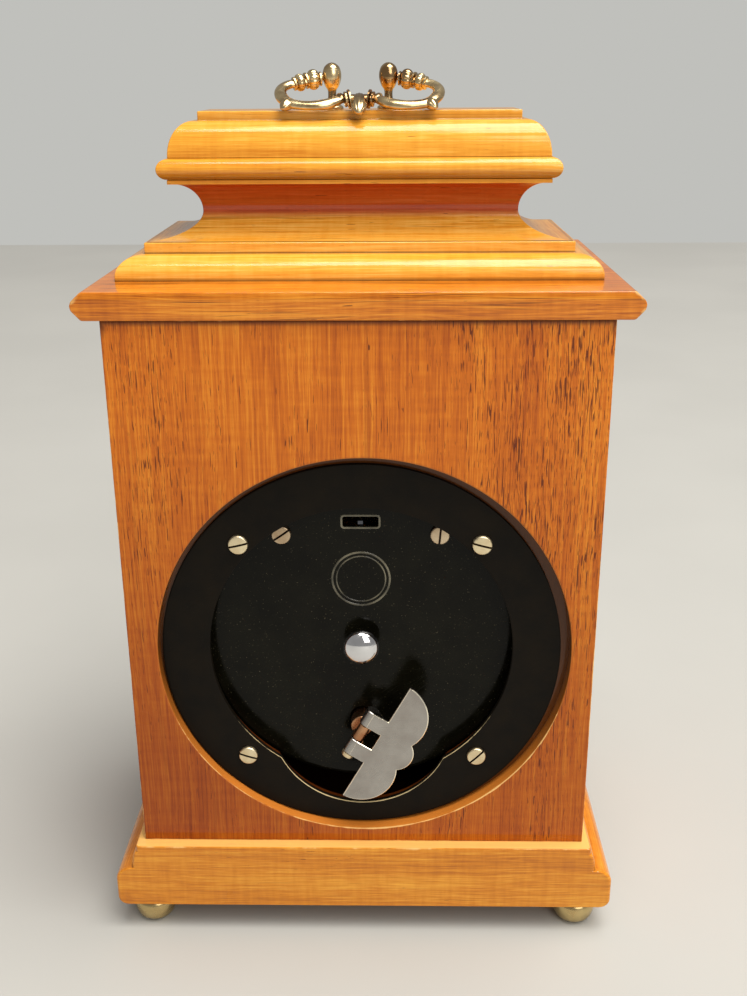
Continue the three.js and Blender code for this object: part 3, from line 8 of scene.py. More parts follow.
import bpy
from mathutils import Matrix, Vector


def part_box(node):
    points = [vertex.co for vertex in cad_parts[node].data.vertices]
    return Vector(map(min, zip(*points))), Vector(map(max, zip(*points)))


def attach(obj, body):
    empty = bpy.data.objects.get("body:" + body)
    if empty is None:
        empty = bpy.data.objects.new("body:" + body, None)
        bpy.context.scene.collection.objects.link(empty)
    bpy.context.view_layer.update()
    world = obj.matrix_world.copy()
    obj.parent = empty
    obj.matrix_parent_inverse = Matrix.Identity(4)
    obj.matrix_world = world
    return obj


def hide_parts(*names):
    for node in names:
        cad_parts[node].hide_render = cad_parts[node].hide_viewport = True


bl_info = {
    "name": "Bracket clock",
    "version": (1, 0, 0),
    "blender": (4, 5, 0),
    "location": "3D View > Sidebar > Clock",
    "description": "Dresses the packed bracket clock with finer wood, brass and dial pieces",
    "category": "Object",
}

import bmesh
import bpy
import numpy as np
from bpy.props import FloatProperty, FloatVectorProperty, IntProperty, PointerProperty
from mathutils import Matrix, Vector

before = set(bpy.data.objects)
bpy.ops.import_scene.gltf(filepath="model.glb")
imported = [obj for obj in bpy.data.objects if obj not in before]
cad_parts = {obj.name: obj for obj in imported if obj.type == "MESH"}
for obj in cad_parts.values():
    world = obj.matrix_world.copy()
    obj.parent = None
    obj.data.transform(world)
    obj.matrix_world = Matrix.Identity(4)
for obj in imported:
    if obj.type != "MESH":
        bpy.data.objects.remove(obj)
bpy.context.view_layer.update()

MM = 0.001
TURN = 2 * np.pi


# ---------------------------------------------------------------- places read from the frame

BACK_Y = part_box("back_panel")[1].y / MM          # the back panel's outer face
BASE_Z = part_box("plinth")[1].z / MM              # the plinth's top
CASE_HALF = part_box("side_panel_right")[1].x / MM
CASE_DEPTH = BACK_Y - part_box("front_panel")[0].y / MM
CASE_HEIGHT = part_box("cornice_slab")[0].z / MM - BASE_Z
SLAB_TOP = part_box("cornice_slab")[1].z / MM - BASE_Z
NECK_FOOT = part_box("bell_neck")[0].z / MM - BASE_Z
CUSHION_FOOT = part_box("cushion_top")[0].z / MM - BASE_Z
CAP_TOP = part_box("cushion_top")[1].z / MM - BASE_Z
TIER_MIDDLE = 47.4                               # middle of the bell top, as a depth
TIER_SIDE_LOSS = 32.7                            # half width minus half depth on every tier
CENTRE_UP = sum(corner.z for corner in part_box("set_knob")) / 2 / MM - BASE_Z
WINDING_UP = CENTRE_UP - 25.5

MOUTH_RADIUS = 43.2                              # the ring's opening: a large circle
LOBE_RADIUS = 26.3                               # and a smaller one
LOBE_DROP = 25.0                                 # whose middle lies lower


def srgb(red, green, blue):
    """A screen colour of 0 to 255 as the linear colour that a shader takes."""
    share = np.array([red, green, blue]) / 255
    linear = np.where(share <= 0.04045, share / 12.92, ((share + 0.055) / 1.055) ** 2.4)
    return tuple(float(value) for value in linear)


# ---------------------------------------------------------------- profiles and grids

def around(steps):
    """Even angles of a full turn; the last one stops short of the first."""
    return np.linspace(0, TURN, steps, endpoint=False)


def quarter(start, end, steps, convex):
    """Quarter of an ellipse between two corners (out, up); a convex one leaves its start upwards."""
    angle = np.linspace(0, np.pi / 2, steps + 1)
    share = (1 - np.cos(angle), np.sin(angle)) if convex else (np.sin(angle), 1 - np.cos(angle))
    start, end = np.array(start, float), np.array(end, float)
    return start + (end - start) * np.stack(share, 1)


def weighted(points, *weights):
    """Profile points with the same weights (arris, quirk) written beside each of them; a single point is
    written as a row of four numbers instead."""
    points = np.atleast_2d(points)
    return np.hstack([points, np.tile(weights, (len(points), 1))])


def eased(profile, ease, steps=3):
    """Rounds each inner corner of an open profile with a parabola that starts and ends at the
    distance ease from it, or at 45% of the stretch beside it where that is shorter."""
    profile = np.asarray(profile, float)
    ease = np.broadcast_to(ease, len(profile))[1:-1, None]
    before, after = profile[1:-1] - profile[:-2], profile[2:] - profile[1:-1]
    length_before = np.maximum(np.linalg.norm(before[:, :2], axis=1, keepdims=True), 1e-9)
    length_after = np.maximum(np.linalg.norm(after[:, :2], axis=1, keepdims=True), 1e-9)
    start = profile[1:-1] - before * np.minimum(ease / length_before, 0.45)
    end = profile[1:-1] + after * np.minimum(ease / length_after, 0.45)
    t = np.linspace(0, 1, steps + 1)[None, :, None]
    curve = (1 - t) ** 2 * start[:, None] + 2 * t * (1 - t) * profile[1:-1, None] + t ** 2 * end[:, None]
    return np.vstack([profile[:1], curve.reshape(-1, profile.shape[1]), profile[-1:]])


def held(profile, hold=0.08):
    """Adds a point just inside both ends of every stretch, so that flat stretches stay flat when shaded."""
    start, end = profile[:-1], profile[1:]
    length = np.maximum(np.linalg.norm((end - start)[:, :2], axis=1, keepdims=True), 1e-9)
    share = np.minimum(hold / length, 0.3)
    rows = np.stack([start, start + (end - start) * share, end - (end - start) * share], 1)
    return np.vstack([rows.reshape(-1, profile.shape[1]), profile[-1:]])


def patch(points, wrap_rows=False, wrap_columns=False, caps=(), **weights):
    """A grid of points (rows, columns, 3) in case coordinates; caps names rows to close with a face."""
    return dict(points=np.asarray(points, float), wrap=(wrap_rows, wrap_columns), caps=caps, weights=weights)


def grid_faces(rows, columns, wrap_rows, wrap_columns, first):
    """Four-sided faces of a grid whose points are numbered row by row from first."""
    row, column = np.meshgrid(
        np.arange(rows if wrap_rows else rows - 1),
        np.arange(columns if wrap_columns else columns - 1), indexing="ij")
    next_row, next_column = (row + 1) % rows, (column + 1) % columns
    corners = [row * columns + column, row * columns + next_column,
               next_row * columns + next_column, next_row * columns + column]
    return (first + np.stack(corners, -1).reshape(-1, 4)).tolist()


def to_metres(points):
    """Case coordinates (across, deep, up) in millimetres as frame coordinates in metres."""
    across, deep, up = points[..., 0], points[..., 1], points[..., 2]
    return np.stack([across, BACK_Y - deep, BASE_Z + up], -1) * MM


def build(name, patches, body, finish, replaces=(), crease=32.0, bevel=0.0):
    """Joins grids into one closed mesh: points are welded, faces turned outwards, and only edges
    sharper than crease degrees stay sharp. The piece then rides on its body."""
    points, faces, first = [], [], 0
    names = sorted({key for each in patches for key in each["weights"]})
    weights = {key: [] for key in names}
    for each in patches:
        rows, columns = each["points"].shape[:2]
        points.append(each["points"].reshape(-1, 3))
        faces += grid_faces(rows, columns, *each["wrap"], first)
        for cap in each["caps"]:
            start = first + (cap % rows) * columns
            faces.append(list(range(start, start + columns)))
        for key in names:
            values = np.broadcast_to(each["weights"].get(key, 0.0), (rows, columns))
            weights[key].append(values.reshape(-1))
        first += rows * columns
    mesh = bpy.data.meshes.new(name)
    mesh.from_pydata(to_metres(np.concatenate(points)).tolist(), [], faces)
    for key in names:
        layer = mesh.attributes.new(key, "FLOAT", "POINT")
        layer.data.foreach_set("value", np.concatenate(weights[key]).astype(np.float32))
    clean = bmesh.new()
    clean.from_mesh(mesh)
    bmesh.ops.remove_doubles(clean, verts=clean.verts, dist=2e-6)
    bmesh.ops.dissolve_degenerate(clean, edges=clean.edges, dist=1e-7)
    bmesh.ops.recalc_face_normals(clean, faces=clean.faces)
    clean.to_mesh(mesh)
    clean.free()
    mesh.polygons.foreach_set("use_smooth", np.ones(len(mesh.polygons), bool))
    mesh.set_sharp_from_angle(angle=np.radians(crease))
    mesh.materials.append(finish)
    piece = bpy.data.objects.new(name, mesh)
    bpy.context.scene.collection.objects.link(piece)
    if bevel:
        edge = piece.modifiers.new("eased edges", "BEVEL")
        edge.width = bevel * MM
        edge.segments = 2
        edge.limit_method = "ANGLE"
        edge.angle_limit = np.radians(40)
        edge.harden_normals = True
    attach(piece, body)
    if replaces:
        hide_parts(*replaces)
    return piece


def dress(node, finish):
    """Gives a carried-over node its finish."""
    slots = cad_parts[node].material_slots
    if not slots:
        raise RuntimeError(f"{node} has no material slot")
    for each in slots:
        each.material = finish


def basis(axis):
    """Two unit vectors at right angles to an axis and to each other."""
    axis = np.asarray(axis, float) / np.linalg.norm(axis)
    helper = np.array([0.0, 0.0, 1.0]) if abs(axis[2]) < 0.9 else np.array([1.0, 0.0, 0.0])
    side = np.cross(helper, axis)
    side /= np.linalg.norm(side)
    return axis, side, np.cross(axis, side)


def turned(profile, origin, axis, steps=48, **weights):
    """Turned piece: each profile row is (radius, distance along the axis from the origin)."""
    profile = np.asarray(profile, float)
    axis, side, other = basis(axis)
    angle = around(steps)
    ring = np.cos(angle)[:, None] * side + np.sin(angle)[:, None] * other
    points = np.asarray(origin, float) + profile[:, None, 1:2] * axis + profile[:, None, 0:1] * ring[None]
    return patch(points, wrap_columns=True, **weights)


def facing_back(profile, place, steps=48, **weights):
    """Turned piece on a front-to-back axis through (across, up); profile rows are (radius, deep)."""
    return turned(profile, (place[0], 0, place[1]), (0, 1, 0), steps, **weights)


def upright(profile, across, deep, steps=48, **weights):
    """Turned piece on an upright axis; profile rows are (radius, up)."""
    return turned(profile, (across, deep, 0), (0, 0, 1), steps, **weights)


def levels(profile, radius=0.4, arc_steps=3, hold=0.1, worn_corner=0.0):
    """Block of rectangles with rounded corners. Rows are (up, half width, back, front, arris, quirk);
    a rectangle's corner is a quarter circle of the radius, with points at hold and at 3 mm beyond each of
    its ends. worn_corner is added to the arris weight on the corner itself."""
    up, half, back, front, arris, quirk = np.asarray(profile, float).T
    arc = np.linspace(0, np.pi / 2, arc_steps + 1)
    along = np.concatenate([[1, 1], np.cos(arc), [0, 0]]) * radius
    other = np.concatenate([[0, 0], np.sin(arc), [1, 1]]) * radius
    beyond = np.array([3.0, hold])
    other[:2] -= beyond
    along[-2:] -= beyond[::-1]
    near = np.concatenate([[0, 1], np.ones_like(arc), [1, 0]])
    across, deep = [], []
    for side, end, swap in ((1, 1, False), (-1, 1, True), (-1, -1, False), (1, -1, True)):
        a, b = (other, along) if swap else (along, other)
        reach = front - radius if end > 0 else back + radius
        across.append(side * ((half - radius)[:, None] + a[None]))
        deep.append(reach[:, None] + end * b[None])
    across, deep = np.hstack(across), np.hstack(deep)
    points = np.stack([across, deep, np.broadcast_to(up[:, None], across.shape)], -1)
    wear_and_highlight = arris[:, None] + worn_corner * np.tile(near, 4)[None] * (arris[:, None] > 0)
    return patch(points, wrap_columns=True, caps=(0, -1), arris=wear_and_highlight, quirk=quirk[:, None])


def tier_levels(profile, foot, radius=0.3):
    """A tier of the bell top: profile rows are (half width, up from its foot, arris, quirk)."""
    half, up, arris, quirk = np.asarray(profile, float).T
    reach = half - TIER_SIDE_LOSS
    rows = np.stack([foot + up, half, TIER_MIDDLE - reach, TIER_MIDDLE + reach, arris, quirk], 1)
    return levels(rows, radius)


def circle_reach(angle, centre, radius):
    """Distance from the origin, at each angle, to the far side of a circle round another centre."""
    across = centre[0] * np.cos(angle) + centre[1] * np.sin(angle)
    beside = centre[1] * np.cos(angle) - centre[0] * np.sin(angle)
    return across + np.sqrt(np.maximum(radius ** 2 - beside ** 2, 0))


def lobed_reach(angle, offset, origin=(0.0, 0.0)):
    """The ring's opening: the farther of a large circle and of a lobe round the winding arbor."""
    x, z = origin
    big = circle_reach(angle, (-x, -z), MOUTH_RADIUS + offset)
    beside = (-LOBE_DROP - z) * np.cos(angle) + x * np.sin(angle)
    lobe = circle_reach(angle, (-x, -LOBE_DROP - z), LOBE_RADIUS + offset)
    return np.where(np.abs(beside) < LOBE_RADIUS + offset, np.maximum(big, lobe), big)


# ---------------------------------------------------------------- shader wiring

class Wiring:
    """Adds nodes to one shader tree; every call returns the socket that the next one takes."""

    def __init__(self, tree):
        self.tree = tree

    def node(self, kind, inputs=(), **settings):
        made = self.tree.nodes.new(kind)
        for name, value in settings.items():
            setattr(made, name, value)
        for key, value in dict(inputs).items():
            if isinstance(value, bpy.types.NodeSocket):
                self.tree.links.new(value, made.inputs[key])
            else:
                made.inputs[key].default_value = value
        return made

    def math(self, operation, a, b=0.0, c=0.0):
        return self.node("ShaderNodeMath", {0: a, 1: b, 2: c}, operation=operation).outputs[0]

    def times(self, a, b):
        return self.math("MULTIPLY", a, b)

    def plus(self, a, b):
        return self.math("ADD", a, b)

    def minus(self, a, b):
        return self.math("SUBTRACT", a, b)

    def times_plus(self, a, b, c):
        return self.math("MULTIPLY_ADD", a, b, c)

    def parts(self, vector):
        return self.node("ShaderNodeSeparateXYZ", {0: vector}).outputs

    def joined(self, x, y, z):
        return self.node("ShaderNodeCombineXYZ", {0: x, 1: y, 2: z}).outputs[0]

    def link(self, value, node, socket):
        self.tree.links.new(value, node.inputs[socket])

    def scaled(self, vector, factors):
        return self.node("ShaderNodeVectorMath", {0: vector, 1: factors}, operation="MULTIPLY").outputs[0]

    def noise(self, vector, factors, detail=2.0, rough=0.5, distortion=0.0):
        inputs = {"Vector": self.scaled(vector, factors), "Scale": 1.0, "Detail": detail,
                  "Roughness": rough, "Distortion": distortion}
        return self.node("ShaderNodeTexNoise", inputs).outputs[0]

    def step(self, value, low, high, to_low=0.0, to_high=1.0):
        inputs = {"Value": value, "From Min": low, "From Max": high, "To Min": to_low, "To Max": to_high}
        return self.node("ShaderNodeMapRange", inputs, interpolation_type="SMOOTHSTEP").outputs[0]

    def mix(self, factor, a, b):
        made = self.node("ShaderNodeMix", {0: factor}, data_type="RGBA")
        for index, value in ((6, a), (7, b)):
            if isinstance(value, bpy.types.NodeSocket):
                self.tree.links.new(value, made.inputs[index])
            else:
                made.inputs[index].default_value = (*value, 1.0)
        return made.outputs[2]

    def tinted(self, factor, colour, tint):
        made = self.node("ShaderNodeMix", {0: factor, 6: colour}, data_type="RGBA", blend_type="MULTIPLY")
        made.inputs[7].default_value = (*tint, 1.0)
        return made.outputs[2]

    def ramp(self, value, *stops):
        made = self.node("ShaderNodeValToRGB", {0: value})
        elements = made.color_ramp.elements
        while len(elements) < len(stops):
            elements.new(0.5)
        for element, (place, colour) in zip(elements, stops):
            element.position = place
            element.color = (*colour, 1.0)
        return made.outputs[0]

    def attribute(self, name):
        return self.node("ShaderNodeAttribute", attribute_name=name).outputs["Fac"]

    def group(self, tree, **inputs):
        return self.node("ShaderNodeGroup", inputs, node_tree=tree)


def shader_group(name, inputs, outputs):
    """An empty node group with named float or vector sockets; returns its wiring and its two ends."""
    kinds = {"vector": "NodeSocketVector", "value": "NodeSocketFloat"}
    tree = bpy.data.node_groups.new(name, "ShaderNodeTree")
    for socket, kind in inputs:
        tree.interface.new_socket(socket, in_out="INPUT", socket_type=kinds[kind])
    for socket, kind in outputs:
        tree.interface.new_socket(socket, in_out="OUTPUT", socket_type=kinds[kind])
    wiring = Wiring(tree)
    return wiring, wiring.node("NodeGroupInput").outputs, wiring.node("NodeGroupOutput")


def grain_group():
    """Sawn wood in board coordinates, X along the grain: slow patches, fine lines, faint ripples across
    the grain and short open pores of two sizes."""
    w, given, out = shader_group(
        "Sawn grain", [("Vector", "vector"), ("Pore Share", "value"), ("Line Strength", "value")],
        [("Tone", "value"), ("Pores", "value"), ("Streaks", "value"), ("Height", "value")])
    board = given["Vector"]
    wander = w.times(w.minus(w.noise(board, (11, 24, 24), 2.0), 0.5), 0.004)
    shift = w.joined(0.0, wander, wander)
    bent = w.node("ShaderNodeVectorMath", {0: board, 1: shift}, operation="ADD").outputs[0]
    bands = w.noise(bent, (9, 75, 75), 3.0, 0.6)
    lines = w.noise(bent, (20, 1500, 1500), 3.0, 0.7)
    fibre = w.noise(bent, (150, 3400, 3400), 2.0)
    ripples = w.noise(board, (520, 75, 75), 2.0)
    slow = w.times_plus(bands, 0.5, w.times(fibre, 0.3))
    slow = w.times_plus(ripples, 0.16, slow)
    tone = w.times_plus(w.minus(lines, 0.5), given["Line Strength"],
                  w.plus(slow, 0.02))
    crowd = w.noise(board, (26, 85, 85), 3.0, 0.6)
    edge = w.minus(w.times_plus(crowd, -0.42, 1.02), given["Pore Share"])
    long_pores = w.noise(bent, (190, 3000, 3000), 0.0)
    short_pores = w.noise(bent, (420, 5200, 5200), 0.0)
    deep_pores = w.step(long_pores, edge, w.plus(edge, 0.035))
    faint_pores = w.times(w.step(short_pores, edge, w.plus(edge, 0.035)), 0.6)
    pores = w.math("MAXIMUM", deep_pores, faint_pores)
    height = w.times_plus(pores, -0.7, w.times(fibre, 0.3))
    figure = w.noise(bent, (18, 420, 1300), 3.0, 0.65, 0.5)
    streaks = w.times(w.step(figure, 0.56, 0.66), w.step(bands, 0.38, 0.6))
    for name, value in (("Tone", tone), ("Pores", pores), ("Streaks", streaks), ("Height", height)):
        w.link(value, out, name)
    return w.tree


def inside_shade_group():
    """Mask for painted shade inside the closed case, where light hardly falls: one inside it and nought outside
    it.
    """
    w, given, out = shader_group("Painted shade inside the case", [("Vector", "vector")], [("Mask", "value")])
    axis = w.parts(given["Vector"])
    middle = (BACK_Y - CASE_DEPTH / 2) * MM
    depth = w.math("ABSOLUTE", w.minus(axis[1], middle))
    masks = [
        w.math("LESS_THAN", w.math("ABSOLUTE", axis[0]), (CASE_HALF - 7.8) * MM),
        w.math("LESS_THAN", depth, (CASE_DEPTH / 2 - 7.8) * MM),
        w.math("GREATER_THAN", axis[2], (BASE_Z - 0.2) * MM),
        w.math("LESS_THAN", axis[2], (BASE_Z + CASE_HEIGHT + 0.2) * MM),
    ]
    across = w.times(masks[0], masks[1])
    upright_share = w.times(masks[2], masks[3])
    w.link(w.times(across, upright_share), out, "Mask")
    return w.tree


def wear_and_highlight_group():
    """Where an arris is rubbed pale, by wear and on some edges as a painted highlight: its weight, broken up by
    two sizes of noise.
    """
    w, given, out = shader_group(
        "Worn and highlit arris", [("Vector", "vector"), ("Weight", "value")], [("Mask", "value")])
    chips = w.noise(given["Vector"], (260, 260, 260), 3.0, 0.6)
    runs = w.noise(given["Vector"], (38, 38, 38), 1.0)
    broken = w.plus(w.times(chips, 0.5), w.times(runs, 0.5))
    sharp = w.minus(w.plus(given["Weight"], broken), 1.0)
    w.link(w.step(sharp, 0.0, 0.16), out, "Mask")
    return w.tree


def rubbed_group():
    """Rubbed metal or lacquer: soft blotches and fine scratches in two directions."""
    w, given, out = shader_group(
        "Rubbed surface", [("Vector", "vector")],
        [("Blotches", "value"), ("Scratches", "value"), ("Specks", "value")])
    place = given["Vector"]
    w.link(w.noise(place, (110, 110, 110), 3.0, 0.6), out, "Blotches")
    turned_place = w.node("ShaderNodeVectorRotate", {"Vector": place, "Axis": (0, 1, 0), "Angle": 0.9})
    first = w.noise(place, (60, 60, 3200), 1.0)
    second = w.noise(turned_place.outputs[0], (3000, 60, 90), 1.0)
    hairs = w.math("MAXIMUM", w.step(first, 0.66, 0.72), w.step(second, 0.66, 0.72))
    w.link(hairs, out, "Scratches")
    dust = w.noise(place, (2400, 2400, 2400), 1.0)
    w.link(w.step(dust, 0.72, 0.76), out, "Specks")
    return w.tree


GROUPS = {}


def group_tree(name):
    """A shared node group, built the first time that a material asks for it."""
    makers = {"grain": grain_group, "wear_and_highlight": wear_and_highlight_group, "rubbed": rubbed_group, "inside": inside_shade_group}
    if name not in GROUPS:
        GROUPS[name] = makers[name]()
    return GROUPS[name]


def new_finish(name, **sockets):
    """A material with one Principled shader; constants are set on the shader's own sockets."""
    finish = bpy.data.materials.new(name)
    finish.use_nodes = True
    finish.node_tree.nodes.clear()
    w = Wiring(finish.node_tree)
    shader = w.node("ShaderNodeBsdfPrincipled")
    for socket, value in sockets.items():
        shader.inputs[socket.replace("_", " ")].default_value = value
    out = w.node("ShaderNodeOutputMaterial")
    w.link(shader.outputs[0], out, "Surface")
    place = w.node("ShaderNodeTexCoord").outputs["Object"]
    return finish, w, shader, place


def board_axes(w, place, along):
    """Object coordinates turned so that X runs along the grain: along X or Z, or round the bell top's tiers
    or the plinth, whose boards meet in mitres. The plinth's flat back is one board."""
    axis = w.parts(place)
    if along == "Z":
        return w.joined(axis[2], axis[0], axis[1])
    if along == "X":
        return place
    middle, lead = TIER_MIDDLE, TIER_SIDE_LOSS
    if along == "plinth":
        middle, lead = CASE_DEPTH / 2, CASE_HALF - CASE_DEPTH / 2
    depth = w.math("ABSOLUTE", w.minus(axis[1], (BACK_Y - middle) * MM))
    side = w.math("GREATER_THAN", w.minus(w.math("ABSOLUTE", axis[0]), depth), lead * MM)
    if along == "plinth":
        side = w.times(side, w.math("LESS_THAN", axis[1], (BACK_Y + 2.0) * MM))
    turned_board = w.joined(axis[1], axis[0], axis[2])
    return w.node("ShaderNodeMix", {0: side, 4: place, 5: turned_board}, data_type="VECTOR").outputs[1]


def wood_finish(name, along, tones, pores=0.1, lines=0.5, aged=None, streaks=0.5,
                worn=(0.83, 0.52, 0.2), raw=(0.68, 0.24, 0.04), gloss=0.8):
    """Lacquered wood. along is X, Z, tiers or plinth; tones are its dark, middle and light colours. pores is
    a share, or a function that gives one from the wiring and the place; aged is such a function for a mask of
    painted shade, with the tint that it darkens by. lines and streaks are the strengths of the fine lines and
    of the dark figure, worn and raw the colours of rubbed arrises, some of them painted highlights, and of bare
    wood, gloss the weight of the lacquer."""
    dark, middle, light = tones
    # Dark brown for dirt in the grooves and for painted shade.
    soil = srgb(58, 24, 8)
    finish, w, shader, place = new_finish(
        name, Coat_Weight=gloss, Coat_Roughness=0.1, Specular_IOR_Level=0.12, Coat_Tint=(1.0, 0.9, 0.7, 1.0))
    share = pores(w, place) if callable(pores) else pores
    board = board_axes(w, place, along)
    grain = w.group(group_tree("grain"), **{"Vector": board, "Pore Share": share, "Line Strength": lines})
    colour = w.ramp(grain.outputs["Tone"], (0.3, dark), (0.5, middle), (0.7, light))
    # Painted shade: a tint darkens the colour where the mask says less light falls.
    if aged:
        mask, tint = aged
        colour = w.tinted(mask(w, place), colour, tint)
    streak_share = w.times(grain.outputs["Streaks"], streaks)
    colour = w.mix(streak_share, colour, tuple(0.4 * channel for channel in dark))
    colour = w.mix(w.times(grain.outputs["Pores"], 0.88), colour, srgb(86, 28, 6))
    colour = w.mix(w.times(w.attribute("raw"), 0.8), colour, raw)
    # Dirt and painted shade: the colour darkens where the quirk weight is.
    colour = w.mix(w.times(w.attribute("quirk"), 0.85), colour, soil)
    # Pale rubbed arrises: wear, and on the lower edge of the panel's hole a painted highlight.
    wear_and_highlight = w.group(group_tree("wear_and_highlight"), Vector=place, Weight=w.attribute("arris")).outputs[0]
    colour = w.mix(wear_and_highlight, colour, worn)
    # Painted shade: surfaces inside the closed case are darkened to near black.
    colour = w.mix(w.group(group_tree("inside"), Vector=place).outputs[0], colour, srgb(40, 20, 9))
    w.link(colour, shader, "Base Color")
    haze = w.noise(place, (40, 40, 40), 2.0)
    w.link(w.times_plus(haze, 0.16, 0.22), shader, "Roughness")
    bump = w.node("ShaderNodeBump", {"Strength": 0.2, "Distance": 0.0001, "Height": grain.outputs["Height"]})
    w.link(bump.outputs[0], shader, "Normal")
    return finish


def panel_pores(w, place):
    """Pores crowd near the panel's sides, most of all on its -X side and up in its +X corner."""
    axis = w.parts(place)
    one_side = w.times(w.step(axis[0], 0.0, -0.056, 0, 0.13), w.step(axis[2], 0.05, 0.11, 0.45, 1))
    corner = w.times(w.step(axis[0], 0.03, 0.064, 0, 0.09), w.step(axis[2], 0.07, 0.14))
    return w.plus(w.plus(one_side, corner), 0.03)


def panel_painted_shade(w, place):
    """Painted shade: the panel darkens towards its foot and towards its +X side, where less light falls."""
    axis = w.parts(place)
    foot = w.step(axis[2], 0.185, 0.05)
    side = w.step(axis[0], -0.03, 0.07, 0.6, 0.95)
    return w.times(foot, side)


def neck_painted_shade(w, place):
    """Painted shade: the neck darkens to red-brown above its narrowest line, on the hollow's upper half that
    faces down, away from the light.
    """
    axis = w.parts(place)
    line = (BASE_Z + NECK_FOOT + 6.2) * MM
    return w.step(axis[2], line - 0.0022, line + 0.0008)


def metal_finish(name, bright, dull, rough=(0.22, 0.4), soil=None, metallic=1.0, worn=None, specks=0.0,
                 speck_colour=(0.2, 0.17, 0.1), **sockets):
    """Metal or lacquered metal: blotches shift its colour and roughness, scratches roughen it, dirt and
    painted shade gather where the quirk weight is, and worn shows on its arrises, as wear and, on the ring's
    mouth, as a painted highlight."""
    finish, w, shader, place = new_finish(name, Metallic=metallic, **sockets)
    rubbed = w.group(group_tree("rubbed"), Vector=place).outputs
    colour = w.ramp(rubbed["Blotches"], (0.35, dull), (0.65, bright))
    if soil:
        # Dirt and painted shade in grooves and hollows, where the quirk weight is.
        colour = w.mix(w.attribute("quirk"), colour, soil)
    if specks:
        colour = w.mix(w.times(rubbed["Specks"], specks), colour, speck_colour)
    # Pale rubbed arrises: wear, and on the lower edge of the ring's mouth a painted highlight.
    if worn:
        wear_and_highlight = w.group(group_tree("wear_and_highlight"), Vector=place, Weight=w.attribute("arris")).outputs[0]
        colour = w.mix(wear_and_highlight, colour, worn)
    w.link(colour, shader, "Base Color")
    base = w.step(rubbed["Blotches"], 0.3, 0.7, *rough)
    scratched = w.times_plus(rubbed["Scratches"], 0.12, base)
    w.link(scratched, shader, "Roughness")
    bump = w.node("ShaderNodeBump", {"Strength": 0.15, "Distance": 0.00005, "Height": rubbed["Scratches"]})
    w.link(bump.outputs[0], shader, "Normal")
    return finish


FINISHES = {}


# Direction of the grain, name of the colours and options of wood_finish
WOODS = {
    # The panel wood is darkened by painted shade towards the panel's foot and its +X side.
    "panel wood": ("Z", "panel", dict(
        pores=panel_pores, lines=0.75, aged=(panel_painted_shade, (0.5, 0.37, 0.3)), streaks=0.2, gloss=0.45)),
    "side wood": ("Z", "panel", dict(pores=0.06, lines=0.95, streaks=0.3)),
    "plinth wood": ("plinth", "plinth", dict(pores=-0.06, lines=0.5, streaks=0.2, raw=srgb(250, 214, 140))),
    "slab wood": ("X", "slab", dict(pores=-0.04, lines=0.9, streaks=0.8)),
    "moulding wood": ("tiers", "pale", dict(pores=-0.04, lines=0.5, streaks=0.35)),
    # The neck wood is darkened by painted shade on the down-facing upper half of its hollow.
    "neck wood": ("tiers", "pale", dict(
        pores=-0.02, lines=0.8, aged=(neck_painted_shade, (0.5, 0.17, 0.22)), streaks=0.5)),
}

# Bright and dull screen colour, range of roughness and options of metal_finish
METALS = {
    "ring black": ((22, 17, 10), (14, 11, 7), (0.46, 0.58), dict(
        metallic=0.0, worn=srgb(205, 185, 140), specks=0.05, Specular_IOR_Level=0.1)),
    "cover black": ((16, 15, 8), (9, 8, 4), (0.12, 0.22), dict(
        metallic=0.0, specks=0.4, speck_colour=srgb(120, 112, 88), Specular_IOR_Level=0.13)),
    # Painted highlight: a pale colour stands for light caught on the cover's raised rings and slot frame.
    "cover ridge highlight": ((124, 118, 98), (30, 28, 20), (0.12, 0.22), dict(metallic=0.0)),
    "screw brass": ((240, 226, 190), (212, 188, 146), (0.28, 0.42), dict(soil=srgb(50, 34, 18))),
    "screw steel": ((214, 194, 164), (164, 138, 108), (0.25, 0.42), dict(soil=srgb(40, 30, 24))),
    "foot brass": ((206, 186, 134), (190, 166, 116), (0.26, 0.36), dict(soil=srgb(60, 38, 18))),
    "handle brass": ((236, 214, 166), (158, 124, 84), (0.14, 0.28), dict(soil=srgb(40, 22, 10))),
    "key nickel": ((176, 172, 166), (158, 152, 146), (0.18, 0.26), dict(worn=srgb(255, 246, 225))),
    "post brass": ((206, 160, 120), (160, 104, 70), (0.2, 0.34), dict(soil=srgb(60, 30, 14))),
    "knob chrome": ((226, 226, 228), (206, 206, 208), (0.06, 0.12), {}),
    "bright brass": ((222, 186, 108), (204, 166, 90), (0.18, 0.28), dict(soil=srgb(66, 44, 18))),
    "matted brass": ((196, 156, 82), (180, 138, 66), (0.42, 0.55), {}),
    "silvered": ((226, 224, 214), (204, 200, 188), (0.3, 0.42), dict(metallic=0.85)),
    "hand blue": ((34, 44, 92), (20, 26, 60), (0.18, 0.3), {}),
    "plain steel": ((186, 186, 184), (150, 150, 150), (0.2, 0.36), {}),
    "spring steel": ((96, 98, 104), (66, 68, 76), (0.26, 0.42), {}),
    "numeral black": ((30, 28, 28), (20, 18, 18), (0.3, 0.5), dict(metallic=0.0)),
}


def made_finish(name):
    """A new finish by its name in the tables."""
    if name in WOODS:
        along, board, options = WOODS[name]
        colours = bpy.context.scene.clock_colours
        tones = [getattr(colours, f"{board}_{tone}") for tone in ("dark", "middle", "light")]
        return wood_finish(name, along, tones, **options)
    if name in METALS:
        bright, dull, rough, options = METALS[name]
        return metal_finish(name, srgb(*bright), srgb(*dull), rough, **options)
    return {"glass": glass_finish}[name]()


def finish_of(name):
    """A finish of the clock, made the first time that a piece asks for it."""
    if name not in FINISHES:
        FINISHES[name] = made_finish(name)
    return FINISHES[name]


